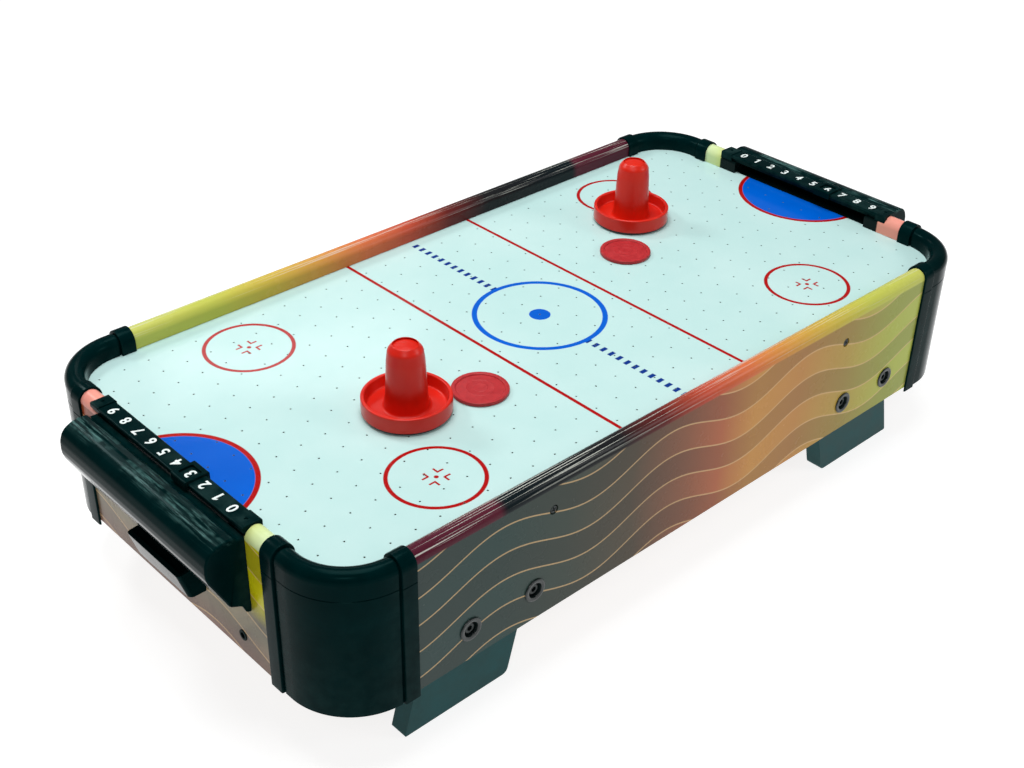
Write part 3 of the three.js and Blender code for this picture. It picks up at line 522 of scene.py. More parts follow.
def rounded(points, radius, steps=5):
    """A closed outline with each corner rounded. radius is one number or one per point."""
    count = len(points)
    radii = radius if isinstance(radius, (list, tuple)) else [radius] * count
    out = []
    for i, (x, y) in enumerate(points):
        here = Vector((x, y))
        before = Vector(points[i - 1]) - here
        after = Vector(points[(i + 1) % count]) - here
        r = radii[i]
        angle = before.angle(after)
        if r <= 0 or angle > math.pi - 1e-3:
            out.append((x, y))
            continue
        cut = r / math.tan(angle / 2)
        cut = min(cut, 0.48 * before.length, 0.48 * after.length)
        start, end = here + before.normalized() * cut, here + after.normalized() * cut
        for k in range(steps + 1):
            t = k / steps
            out.append(tuple((1 - t) ** 2 * start + 2 * t * (1 - t) * here + t * t * end))
    return out


def circle(x, y, r, segments):
    turns = [2 * math.pi * i / segments for i in range(segments)]
    return [(x + r * math.cos(a), y + r * math.sin(a)) for a in turns]


def rounded_rectangle(half_x, half_y, r, steps, x=0.0, y=0.0):
    out = []
    for k, (sx, sy) in enumerate([(1, 1), (-1, 1), (-1, -1), (1, -1)]):
        for i in range(steps + 1):
            a = math.pi / 2 * (k + i / steps)
            out.append((x + sx * (half_x - r) + r * math.cos(a), y + sy * (half_y - r) + r * math.sin(a)))
    return out


def plate(outline, holes, low, high):
    """A flat plate in X and Y with holes right through it."""
    points, edges = [], []
    for loop in [outline, *holes]:
        first = len(points)
        points += [Vector(p) for p in loop]
        edges += [(first + i, first + (i + 1) % len(loop)) for i in range(len(loop))]
    verts, _, faces, _, _, _ = delaunay_2d_cdt(points, edges, [], 1, 1e-5)
    cells = {}
    for h in holes:
        m = sum((Vector(p) for p in h), Vector((0, 0))) / len(h)
        r = max((Vector(p) - m).length for p in h)
        for cx in range(int((m.x - r) // HOLE_PITCH), int((m.x + r) // HOLE_PITCH) + 1):
            for cy in range(int((m.y - r) // HOLE_PITCH), int((m.y + r) // HOLE_PITCH) + 1):
                cells.setdefault((cx, cy), []).append((m, r, h))

    def in_hole(c):
        for m, r, h in cells.get((int(c.x // HOLE_PITCH), int(c.y // HOLE_PITCH)), []):
            if (c - m).length > r:
                continue
            inside = False
            for i, (x1, y1) in enumerate(h):
                x2, y2 = h[(i + 1) % len(h)]
                if (y1 > c.y) != (y2 > c.y) and c.x < (x2 - x1) * (c.y - y1) / (y2 - y1) + x1:
                    inside = not inside
            if inside:
                return True
        return False

    bm = bmesh.new()
    tops = [bm.verts.new((v.x, v.y, high)) for v in verts]
    lows = [bm.verts.new((v.x, v.y, low)) for v in verts]
    rim = {}
    for face in faces:
        c = sum((verts[i] for i in face), Vector((0, 0))) / len(face)
        if in_hole(c):
            continue
        bm.faces.new([tops[i] for i in face])
        bm.faces.new([lows[i] for i in reversed(face)])
        for i, a in enumerate(face):
            b = face[(i + 1) % len(face)]
            if (b, a) in rim:
                del rim[(b, a)]
            else:
                rim[(a, b)] = True
    for a, b in rim:
        bm.faces.new((tops[a], lows[a], lows[b], tops[b]))
    bmesh.ops.delete(bm, geom=[v for v in bm.verts if not v.link_faces], context="VERTS")
    bmesh.ops.recalc_face_normals(bm, faces=bm.faces)
    return bm


def sweep_x(outline, x0, x1):
    return loft([[(x0, y, z) for y, z in outline], [(x1, y, z) for y, z in outline]])


def sweep_y(outline, y0, y1):
    return loft([[(x, y0, z) for x, z in outline], [(x, y1, z) for x, z in outline]])


def sweep_z(outline, z0, z1):
    return loft([[(x, y, z) for x, y in outline] for z in (z0, z1)])


def slab(x, y, z):
    return loft([[(a, y[0], z[0]), (a, y[1], z[0]), (a, y[1], z[1]), (a, y[0], z[1])] for a in x])


def pillar(r, z0, z1, segments=32, x=0.0, y=0.0):
    return sweep_z(circle(x, y, r, segments), z0, z1)


ALONG_X = Matrix.Rotation(math.pi / 2, 4, "Y")
ALONG_Y = Matrix.Rotation(-math.pi / 2, 4, "X")


def moved(bm, *matrices):
    for matrix in matrices:
        bmesh.ops.transform(bm, matrix=matrix, verts=bm.verts)
        if matrix.determinant() < 0:
            bmesh.ops.reverse_faces(bm, faces=bm.faces)
    return bm


def shift(x=0.0, y=0.0, z=0.0):
    return Matrix.Translation((x, y, z))


def mirror(x=1, y=1):
    return Matrix.Diagonal((x, y, 1, 1))


def added(name, data):
    made = bpy.data.objects.new(name, data)
    bpy.context.collection.objects.link(made)
    return made


def scratch_object(bm, name):
    mesh = bpy.data.meshes.new(name)
    bm.to_mesh(mesh)
    bm.free()
    return added(name, mesh)


def evaluated(made):
    """The object's finished shape as a bmesh."""
    bpy.context.view_layer.update()
    done = made.evaluated_get(bpy.context.evaluated_depsgraph_get())
    out = bmesh.new()
    out.from_mesh(done.to_mesh())
    done.to_mesh_clear()
    return out


def carved(bm, cutter, operation="DIFFERENCE"):
    """bm less cutter, or joined with it, as a new bmesh."""
    body, tool = scratch_object(bm, "body"), scratch_object(cutter, "tool")
    cut = body.modifiers.new("cut", "BOOLEAN")
    cut.operation = operation
    cut.solver = "EXACT"
    cut.object = tool
    out = evaluated(body)
    for made in (body, tool):
        mesh = made.data
        bpy.data.objects.remove(made)
        bpy.data.meshes.remove(mesh)
    bmesh.ops.remove_doubles(out, verts=out.verts, dist=1e-4)
    bmesh.ops.dissolve_degenerate(out, dist=1e-4, edges=out.edges)
    return out


def placed(name, mesh, material, body, node):
    """A mesh in metres as an object that rides on a CAD body and may stand for a CAD node."""
    mesh.materials.clear()
    mesh.materials.append(M[material])
    made = added(name, mesh)
    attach(made, body)
    if node:
        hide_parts(node)
    return made


def piece(name, bm, material, body="table", node=None, bevel=0.0, angle=38):
    """An object in metres from a bmesh in millimetres, with its sharp edges bevelled."""
    if bevel:
        limit = math.radians(angle)
        soft = [e for e in bm.edges if len(e.link_faces) == 2 and e.calc_face_angle(0) > limit]
        bmesh.ops.bevel(bm, geom=soft, offset=bevel, segments=3, profile=0.5, affect="EDGES",
                        clamp_overlap=True)
        bmesh.ops.remove_doubles(bm, verts=bm.verts, dist=1e-4)
        bmesh.ops.dissolve_degenerate(bm, dist=1e-4, edges=bm.edges)
    bmesh.ops.scale(bm, vec=(MM, MM, MM), verts=bm.verts)
    mesh = bpy.data.meshes.new(name)
    for face in bm.faces:
        face.smooth = True
    bm.to_mesh(mesh)
    bm.free()
    mesh.set_sharp_from_angle(angle=math.radians(angle))
    made = placed(name, mesh, material, body, node)
    made.modifiers.new("normals", "WEIGHTED_NORMAL").keep_sharp = True


# ---------------------------------------------------------------- boards

holes = [circle(i * HOLE_PITCH, j * HOLE_PITCH, HOLE_R, 10) for i in range(-15, 16) for j in range(-7, 8)]
board = rounded_rectangle(INNER_X + TONGUE, INNER_Y + TONGUE, CORNER_R + TONGUE, 16)
piece("playfield", plate(board, holes, PLAY_Z - PLAY_T, PLAY_Z), "playfield",
      node="playfield_board")

screw_places = [(sx * FAN_SCREW_XY, sy * FAN_SCREW_XY) for sx in (-1, 1) for sy in (-1, 1)]
base_holes = [circle(0, 0, FAN_BORE_R - 2, 96), *(circle(x, y, 2.1, 16) for x, y in screw_places)]
piece("base_panel", plate(board, base_holes, BASE_Z, BASE_Z + BASE_T), "hardboard",
      node="base_board")


def wall_section():
    """Depth from the inner face and height, round the wall."""
    groove = TONGUE + GAP
    points = [(BOARD - 0.6, WALL_BOTTOM), (0.6, WALL_BOTTOM), (0, WALL_BOTTOM + 0.6)]
    for low, high in ((BASE_Z - GAP, BASE_Z + BASE_T + GAP), (PLAY_Z - PLAY_T - GAP, PLAY_Z + GAP)):
        points += [(0, low), (groove, low), (groove, high), (0, high)]
    steps = 28
    for i in range(steps + 1):
        a = math.pi - math.pi * i / steps
        points.append((RAIL_R + RAIL_R * math.cos(a), RAIL_Z + RAIL_R * math.sin(a)))
    points.append((BOARD, WALL_BOTTOM + 0.6))
    return points


def side_wall(batten_x):
    section = [(-INNER_Y - d, z) for d, z in wall_section()]
    wall = sweep_x(section, -INNER_X + CAP_SHORT - COVERED, INNER_X - CAP_LONG + COVERED)
    bolts = ((-BOLT_X[1], -BOLT_X[0], *BOLT_X), BOLT_Z, (3.6, 5), (7.9, 7.3))
    screws = (batten_x, BATTEN_SCREW_Z, (2.4, 1), (4.4, 2.5))
    for places, z, (shank_r, start), (head_r, depth) in (bolts, screws):
        for x in places:
            shank = pillar(shank_r, -OUTER_Y + start, -INNER_Y + 5)
            head = pillar(head_r, -OUTER_Y - 5, -OUTER_Y + depth)
            for tool in (shank, head):
                wall = carved(wall, moved(tool, ALONG_Y, shift(x, 0, z)))
    return wall


def end_wall(right):
    section = [(-INNER_X - d, z) for d, z in wall_section()]
    wall = sweep_y(section, -INNER_Y + CAP_LONG - COVERED, INNER_Y - CAP_SHORT + COVERED)
    across = (-OUTER_X - 5, -INNER_X + 5)
    tools = [
        slab(across, (BAR_Y[0] - GAP, BAR_Y[1] + GAP), (BAR_Z[0] - GAP, RAIL_Z + 20)),
        slab(across, MOUTH_Y, (MOUTH_FLOOR, RAIL_Z + 20)),
    ]
    if right:
        tools.append(slab(across, (SOCKET_Y - 10, SOCKET_Y + 10), (SOCKET_Z - 6.9, SOCKET_Z + 6.9)))
    else:
        tools.append(moved(pillar(4.6, *across), ALONG_X, shift(0, SOCKET_Y, SOCKET_Z)))
    for y, z in (*((y, HOOD_SCREW_Z) for y in HOOD_SCREW_Y), (0, TRAY_SCREW_Z)):
        tools.append(moved(pillar(1.9, -OUTER_X - 1, -OUTER_X + 12, 16), ALONG_X, shift(0, y, z)))
    for tool in tools:
        wall = carved(wall, tool)
    return wall


piece("wall_front", side_wall(BATTEN_X), "front", node="side_wall_front")
piece("wall_back", moved(side_wall([-x for x in BATTEN_X]), HALF_TURN), "back",
      node="side_wall_back")
piece("wall_left", end_wall(False), "left", node="end_wall_left")
piece("wall_right", moved(end_wall(True), HALF_TURN), "right", node="end_wall_right")


# ---------------------------------------------------------------- corner caps


def cap_section(margin, hollow):
    """The cap's closed section: its outside grown by a margin, then its inside back again."""
    out = [(BOARD + margin - 0.5, CAP_BOTTOM), (BOARD + margin, CAP_BOTTOM + 0.5)]
    seam = PLAY_Z - 5
    out += [(BOARD + margin, seam - 0.5), (BOARD + margin - 0.5, seam), (BOARD + margin, seam + 0.5)]
    r = RAIL_R + margin
    steps = 24
    for i in range(steps + 1):
        a = math.pi * i / steps
        out.append((RAIL_R + r * math.cos(a), RAIL_Z + r * math.sin(a)))
    out += [(-margin, PLAY_Z + GAP)]
    inner = GAP if hollow is None else -hollow
    out += [(-inner, PLAY_Z + GAP)]
    r = RAIL_R + inner
    for i in range(steps + 1):
        a = math.pi - math.pi * i / steps
        out.append((RAIL_R + r * math.cos(a), RAIL_Z + r * math.sin(a)))
    out += [(BOARD + inner, CAP_BOTTOM)]
    return out


def corner_cap():
    """The back right cap about its corner's centre, lofted from one collar round to the other."""
    bore = COVERED + GAP
    lengths = [
        (0.0, COLLAR_PROUD - 0.7, None),
        (0.25, COLLAR_PROUD - 0.2, None),
        (0.8, COLLAR_PROUD, None),
        (bore, COLLAR_PROUD, None),
        (bore + 0.01, COLLAR_PROUD, CAP_WALL),
        (COLLAR_LENGTH - 0.8, COLLAR_PROUD, CAP_WALL),
        (COLLAR_LENGTH - 0.25, COLLAR_PROUD - 0.2, CAP_WALL),
        (COLLAR_LENGTH, COLLAR_PROUD - 0.7, CAP_WALL),
        (COLLAR_LENGTH + 0.15, -0.9, CAP_WALL),
        (COLLAR_LENGTH + 1.5, -0.9, CAP_WALL),
        (COLLAR_LENGTH + 1.9, 0.0, CAP_WALL),
    ]
    rings = []

    def ring(origin, outward, margin, hollow):
        return [(origin[0] + outward[0] * d, origin[1] + outward[1] * d, z)
                for d, z in cap_section(margin, hollow)]

    for length, margin, hollow in lengths:
        rings.append(ring((CORNER_R - CAP_SHORT + length, CORNER_R), (0, 1), margin, hollow))
    steps = 24
    reach = COLLAR_LENGTH + 1.9
    first = min(math.atan2(CORNER_R, CORNER_R - CAP_SHORT + reach), math.pi / 2)
    last = max(math.atan2(CORNER_R - CAP_LONG + reach, CORNER_R), 0.0)
    for i in range(1, steps):
        a = first + (last - first) * i / steps
        n = (math.cos(a), math.sin(a))
        rings.append(ring((CORNER_R * n[0], CORNER_R * n[1]), n, 0.0, CAP_WALL))
    for length, margin, hollow in reversed(lengths):
        rings.append(ring((CORNER_R, CORNER_R - CAP_LONG + length), (1, 0), margin, hollow))
    return loft(rings)


for corner, (sx, sy) in CORNERS.items():
    turn = Matrix.Rotation(math.radians(CAP_TURN[corner]), 4, "Z")
    piece(f"cap_{corner}", moved(corner_cap(), turn, shift(sx * CORNER_X, sy * CORNER_Y)), "black",
          node=f"corner_cap_{corner}", angle=30)


# ---------------------------------------------------------------- legs, bolts and screws


def leg():
    x0, x1, lean, top = -321.5, -213, 0.27, 114
    outline = rounded([(x0, 0), (x1, 0), (x1 + lean * top, top), (x0 + lean * top, top)], [1.5, 7, 1, 1], 6)
    inner = -INNER_Y + GAP
    board = sweep_y(outline, inner, inner + 17)
    for x in BOLT_X:
        board = carved(board, moved(pillar(3.4, inner - 1, inner + 18), ALONG_Y, shift(-x, 0, BOLT_Z)))
    return board


def leg_bolt():
    """A cup washer with a socket-headed bolt sunk in it, standing along Z with its tip up."""
    cup = lathe([(3.2, 6.7), (7.6, 6.7), (7.6, -0.3), (10.2, -0.3), (10.5, -0.7), (10.2, -1.3), (9.4, -1.6),
                 (8.2, -1.5), (6.9, -1.1), (6.4, -0.2), (6.2, 5.2), (3.2, 5.2)], 48)
    head = lathe([(0, 0.9), (4.3, 0.9), (4.9, 1.4), (5.0, 5.1), (3, 5.1), (3, 31.6), (2.4, 32), (0, 32)], 36)
    return cup, carved(head, pillar(2.6, 0, 3.4, 6))


def phillips_screw(head_r, head_t, shank_r, length):
    """A pan-headed cross screw, its head's underside at 0 and its tip at +Z."""
    body = lathe([(0, -head_t), (head_r * 0.45, -head_t), (head_r * 0.8, -head_t * 0.85),
                  (head_r * 0.97, -head_t * 0.45), (head_r, 0), (shank_r, 0),
                  (shank_r, length - 2 * shank_r), (0, length)], 36)
    width, reach = head_r * 0.14, head_r * 0.62
    for turn in (0, math.pi / 2):
        slot = slab((-reach, reach), (-width, width), (-head_t - 1, -head_t * 0.35))
        body = carved(body, moved(slot, Matrix.Rotation(turn, 4, "Z")))
    return body


for corner, (sx, sy) in CORNERS.items():
    piece(f"leg_board_{corner}", moved(leg(), mirror(-sx, -sy)), "leg",
          node=f"leg_{corner}", bevel=0.7)
    for k, x in enumerate(BOLT_X):
        cup, head = leg_bolt()
        turn = Matrix.Rotation(0.4 + 1.3 * k + sx, 4, "Z")
        at = shift(sx * x, sy * OUTER_Y, BOLT_Z) @ (mirror(1, -sy) @ ALONG_Y)
        piece(f"bolt_cup_{corner}_{k + 1}", moved(cup, at), "bolt_rim",
              node=f"leg_bolt_{corner}_{k + 1}")
        piece(f"bolt_head_{corner}_{k + 1}", moved(head, at @ turn), "bolt", bevel=0.25)
    screw = moved(phillips_screw(3.9, 2, 1.8, 30), Matrix.Rotation(0.5 * sx + 0.2, 4, "Z"))
    x = BATTEN_X[0 if sx < 0 else 1]
    at = shift(x, sy * (OUTER_Y - 2.2), BATTEN_SCREW_Z) @ (mirror(1, -sy) @ ALONG_Y)
    piece(f"batten_screw_head_{corner}", moved(screw, at), "bolt",
          node=f"batten_screw_{corner}")


# ---------------------------------------------------------------- goal ends


def hood_outline(inset):
    """The hood's section: a gutter by the wall, a crown, the bulging front and the slanted underside."""
    wall = -OUTER_X - GAP + (2 if inset else 0)
    corner = (-407, HOOD_BOTTOM - 2 * inset) if inset else (-413, PLAY_Z - 45.5)
    points = [
        (wall, HOOD_BOTTOM - 2 * inset), corner,
        (-428 + 1.1 * inset, PLAY_Z - 16), (-429.6 + inset, PLAY_Z - 11),
        (-430 + inset, PLAY_Z - 6), (-429.6 + inset, PLAY_Z + 1),
        (-427.4 + 0.9 * inset, PLAY_Z + 7.5 - 0.4 * inset),
        (-423.6 + 0.7 * inset, PLAY_Z + 11.6 - 0.8 * inset), (-417.5 + 0.3 * inset, PLAY_Z + 14.4 - inset),
        (-411, PLAY_Z + 15.6 - inset), (-404, PLAY_Z + 15 - inset), (-401, PLAY_Z + 12.2 - inset),
        (wall, PLAY_Z + 12 - inset),
    ]
    return rounded(points, [0, 0.8, 9, 12, 12, 12, 12, 12, 12, 12, 2.5, 2, 0], 5)


def toward(outline, inset):
    """An outline drawn in by an inset towards its inside."""
    count = len(outline)
    out = []
    area = sum(outline[i - 1][0] * outline[i][1] - outline[i][0] * outline[i - 1][1] for i in range(count))
    side = 1 if area > 0 else -1
    for i in range(count):
        before, here, after = (Vector(outline[(i + k) % count]) for k in (-1, 0, 1))
        normals = []
        for a, b in ((before, here), (here, after)):
            edge = b - a
            if edge.length > 1e-6:
                edge.normalize()
                normals.append(Vector((-edge.y, edge.x)) * side)
        normal = sum(normals, Vector((0, 0)))
        normal.normalize()
        push = inset / max(0.5, normal.dot(normals[0])) if normals else inset
        out.append(tuple(here + normal * push))
    return out


def goal_hood():
    outline = hood_outline(0)
    wall = -OUTER_X - GAP
    rings = []
    round_r, steps = 1.8, 6
    for side in (0, 1):
        for k in range(steps + 1) if side == 0 else range(steps, -1, -1):
            a = math.pi / 2 * k / steps
            inset = round_r * (1 - math.sin(a))
            y = HOOD_Y[side] + (1 - 2 * side) * round_r * (1 - math.cos(a))
            ring = []
            for (x, z), (near_x, near_z) in zip(outline, toward(outline, inset)):
                if x > wall - 0.01:
                    ring.append((wall, y, z - inset * (z > PLAY_Z)))
                else:
                    ring.append((min(near_x, wall), y, near_z))
            rings.append(ring)
    hood = loft(rings)
    inner = (HOOD_Y[0] + HOOD_WALL, HOOD_Y[1] - HOOD_WALL)
    hood = carved(hood, sweep_y(hood_outline(HOOD_WALL), *inner))
    hood = carved(hood, slab((-440, -405), inner, (PLAY_Z - 60, PLAY_Z - 41.5)))
    gusset = rounded([(wall, PLAY_Z - 38), (wall, PLAY_Z - 59), (wall - 4.5, PLAY_Z - 57.5),
                      (wall - 7.5, PLAY_Z - 50), (-412.4, PLAY_Z - 45.2), (-413.8, PLAY_Z - 41.5)],
                     [0, 1, 3, 4, 1.5, 0], 4)
    for side in (0, 1):
        def span(near, far):
            return (HOOD_Y[1] - far, HOOD_Y[1] - near) if side else (HOOD_Y[0] + near, HOOD_Y[0] + far)

        y = span(0.4, 12)
        high, low = PLAY_Z - 41, PLAY_Z - 58
        flap = rounded([(y[0], high), (y[0], low), (y[1], low), (y[1], high)], [0, 2.5, 2.5, 0], 5)
        hole = moved(pillar(2.1, wall - 6, wall + 2), ALONG_X, shift(0, HOOD_SCREW_Y[side], HOOD_SCREW_Z))
        ear = carved(sweep_x(flap, wall - HOOD_WALL, wall), hole)
        hood = joined(hood, sweep_y(gusset, *span(0.02, HOOD_WALL - 0.02)), ear)
    return hood


def puck_tray():
    wall = -OUTER_X - GAP

    def section(inset):
        return [(wall - inset, PLAY_Z - 82 + inset), (wall - inset, PLAY_Z - 54 + 3 * inset),
                (-418.5 + 1.1 * inset, PLAY_Z - 56 + 3 * inset), (-410.3 + 0.8 * inset, PLAY_Z - 82 + inset)]

    outer = rounded(section(0), [0.5, 0.5, 0.8, 2.5], 5)
    rings = []
    round_r, steps = 3.0, 6
    for side in (-1, 1):
        order = range(steps + 1) if side < 0 else range(steps, -1, -1)
        for k in order:
            a = math.pi / 2 * k / steps
            inset = round_r * (1 - math.sin(a))
            y = side * (TRAY_Y - round_r + round_r * math.cos(a))
            rings.append([(min(x - (0 if x > -400 else -inset), wall), y, z) for x, z in outer])
    tray = loft(rings)
    inner = TRAY_Y - TRAY_WALL
    tray = carved(tray, sweep_y(section(TRAY_WALL), -inner, inner))
    hole = moved(pillar(2.1, wall - 6, wall + 2), ALONG_X, shift(0, 0, TRAY_SCREW_Z))
    return carved(tray, hole)


def scorer_bar():
    x0, x1 = BAR_X
    low, high = BAR_Z
    outline = rounded([(x0 + 2, low), (x1 - 2, low), (x1 - 2, BAR_HEAD_Z), (x1, BAR_HEAD_Z), (x1, high),
                       (x0, high), (x0, BAR_HEAD_Z), (x0 + 2, BAR_HEAD_Z)],
                      [0.2, 0.2, 0, 0.4, 1.3, 1.3, 0.4, 0], 5)
    bar = sweep_y(outline, *BAR_Y)
    top = BAR_Z[1] + STOP_PROUD
    block = rounded([(x0 + 2, low), (x1 + STOP_PROUD, low), (x1 + STOP_PROUD, top), (x0, top),
                     (x0, BAR_HEAD_Z), (x0 + 2, BAR_HEAD_Z)], [0.2, 0.4, 1.6, 1.6, 0.4, 0], 5)
    for span in ((BAR_Y[0], BAR_STOPS[0]), (BAR_STOPS[1], BAR_Y[1])):
        bar = carved(bar, sweep_y(block, *span), "UNION")
        dimple = pillar(1.6, top - 0.8, top + 2, 20, (x0 + x1) / 2, sum(span) / 2)
        bar = carved(bar, dimple)
    for y in BAR_PEG_Y:
        bar = carved(bar, pillar(2, BAR_Z[0] - 9, BAR_Z[0] + 1, 24, -OUTER_X + RAIL_R, y), "UNION")
    return bar


def digit(number):
    """A number as a thin raised solid, 10 mm tall, centred on the origin."""
    if number == 1:
        one = [(1.1, -4.9), (1.1, 4.9), (-0.6, 4.9), (-2.7, 3.2), (-2.7, 1.5), (-0.9, 2.7), (-0.9, -4.9)]
        return sweep_z(one, -0.25, 0.25)
    curve = bpy.data.curves.new("digit", "FONT")
    curve.body = str(number)
    curve.size = 13.4
    curve.align_x = "CENTER"
    curve.align_y = "CENTER"
    curve.offset = 0.28
    curve.extrude = 0.25
    curve.resolution_u = 4
    made = added("digit", curve)
    out = evaluated(made)
    bpy.data.objects.remove(made)
    bpy.data.curves.remove(curve)
    bmesh.ops.remove_doubles(out, verts=out.verts, dist=1e-3)
    xs, ys = [v.co.x for v in out.verts], [v.co.y for v in out.verts]
    return moved(out, shift(-(min(xs) + max(xs)) / 2, -(min(ys) + max(ys)) / 2))


def score_marker(step):
    side, lip = 2.2, 1.2
    x0, x1 = BAR_X[0] - GAP - side, BAR_X[1] + GAP + side
    low, top = BAR_HEAD_Z - GAP - 1.1, BAR_Z[1] + GAP
    under = BAR_HEAD_Z - GAP
    clip = rounded([(x0, low), (x0 + side + lip, low), (x0 + side + lip, under), (x0 + side, under),
                    (x0 + side, top), (x1 - side, top), (x1 - side, under),
                    (x1 - side - lip, under), (x1 - side - lip, low), (x1, low),
                    (x1, top + 2), (x0, top + 2)], [0.3, 0.3, 0, 0, 0, 0, 0, 0, 0.3, 0.3, 1.4, 1.4], 5)
    y, half = DIGIT_0_Y + step * DIGIT_PITCH, MARKER_LENGTH / 2
    marker = sweep_y(clip, y - half, y + half)
    middle = (BAR_X[0] + BAR_X[1]) / 2
    opening = rounded_rectangle(6.5, 7, 2, 6, middle, y)
    return carved(marker, sweep_z(opening, BAR_Z[1] - 1, BAR_Z[1] + 5))


for side, turn in ENDS.items():
    piece(f"hood_{side}", moved(goal_hood(), turn), "hood", node=f"goal_hood_{side}",
          angle=32)
    piece(f"tray_{side}", moved(puck_tray(), turn), "black", node=f"puck_tray_{side}",
          bevel=0.35, angle=32)
    piece(f"scorer_{side}", moved(scorer_bar(), turn), "black", node=f"scorer_bar_{side}",
          bevel=0.3)
    numbers = []
    for n in range(10):
        at = shift((BAR_X[0] + BAR_X[1]) / 2, DIGIT_0_Y + n * DIGIT_PITCH, BAR_Z[1] + 0.02)
        numbers.append(moved(digit(n), at @ Matrix.Rotation(math.pi / 2, 4, "Z")))
    piece(f"scorer_numbers_{side}", moved(joined(*numbers), turn), "ink")
    piece(f"marker_{side}", moved(score_marker(MARKER_SCORES[side]), turn), "black", f"score_marker_{side}",
          f"score_marker_{side}", bevel=0.4)
    for k, y in enumerate(HOOD_SCREW_Y, 1):
        at = shift(-OUTER_X - 2 * GAP - HOOD_WALL, y, HOOD_SCREW_Z) @ ALONG_X
        screw = moved(phillips_screw(3.6, 2.2, 1.6, 13), Matrix.Rotation(0.7 * k, 4, "Z"), at, turn)
        piece(f"ear_screw_{side}_{k}", screw, "steel", node=f"hood_screw_{side}_{k}")
    at = shift(-OUTER_X - 2 * GAP - TRAY_WALL, 0, TRAY_SCREW_Z) @ ALONG_X
    piece(f"catch_screw_{side}", moved(phillips_screw(3.6, 2.2, 1.6, 13), at, turn), "steel",
          node=f"tray_screw_{side}")


# ---------------------------------------------------------------- mallets and pucks

def mallet_shell(x, y):
    """The shell's profile in heights above the playfield: up the outside, then down the hollow."""
    outside = rounded([
        (35.2, 2.6), (MALLET_R, 2.6), (MALLET_R, 16.5), (35.1, 16.5), (33.8, 5.8),
        (19.4, 5.8), (17.7, 20), (16.3, 50), (15.0, 60.5), (9.5, 66.9),
    ], [0.3, 1.0, 1.4, 1.4, 2.2, 3.0, 12, 14, 8, 7], 8)
    hollow = [(0, 67), (0, 64.4), (4.8, 63.6), (9, 61), (12.6, 57), (14, 50), (15.6, 12), (17.4, 4.4),
              (31, 4.4), (35.2, 4.4)]
    return lathe([(r, PLAY_Z + z) for r, z in outside + hollow], 96, (x, y))


def mallet_felt(x, y):
    low, high = PLAY_Z + GAP, PLAY_Z + GAP + 2
    profile = [(0, low), (36.2, low), (36.7, low + 0.5), (36.7, high - 0.4), (36.3, high), (0, high)]
    return lathe(profile, 72, (x, y))


def puck(x, y):
    low, high = PLAY_Z + GAP, PLAY_Z + GAP + PUCK_T
    half = rounded([(PUCK_R - 4.2, high - 0.6), (PUCK_R - 3.4, high), (PUCK_R, high), (PUCK_R, low),
                    (PUCK_R - 3.4, low), (PUCK_R - 4.2, low + 0.6)], [1, 0.6, 0.9, 0.9, 0.6, 1], 4)
    ridges = []
    for r in (6, 12):
        ridges += [(r - 0.5, high - 0.6), (r, high - 0.35), (r + 0.5, high - 0.6)]
    return lathe([(0, high - 0.6), *ridges, *half, (0, low + 0.6)], 96, (x, y))


for side in ("left", "right"):
    piece(f"mallet_{side}", mallet_shell(*MALLETS[side]), "mallet", f"mallet_{side}",
          f"mallet_shell_{side}", angle=50)
    piece(f"mallet_pad_{side}", mallet_felt(*MALLETS[side]), "felt", f"mallet_{side}",
          f"mallet_felt_{side}")
    piece(f"puck_disc_{side}", puck(*PUCKS[side]), "puck", f"puck_{side}", f"puck_{side}", angle=50)


# ---------------------------------------------------------------- fan and power


def fan_frame():
    outline = rounded_rectangle(FAN_HALF, FAN_HALF, 5, 8)
    bore = circle(0, 0, FAN_BORE_R, 96)
    screw_holes = [circle(x, y, 2.2, 16) for x, y in screw_places]
    whole = plate(outline, [bore, *screw_holes], FAN_LOW, FAN_HIGH)
    whole = carved(whole, pillar(HUB_R, FAN_LOW, FAN_LOW + 2.5, 64), "UNION")
    for i in range(3):
        strut = slab((HUB_R - 2, FAN_BORE_R + 1.5), (-2, 2), (FAN_LOW, FAN_LOW + 2.5))
        whole = carved(whole, moved(strut, Matrix.Rotation(2 * math.pi * i / 3 + 0.5, 4, "Z")), "UNION")
    # The flanges' waist: the frame is round between its two square ends.
    waist = plate(rounded_rectangle(FAN_HALF + 2, FAN_HALF + 2, 2, 2), [circle(0, 0, FAN_BORE_R + 1.8, 96)],
                  FAN_LOW + 4.5, FAN_HIGH - 4.5)
    return carved(whole, waist)


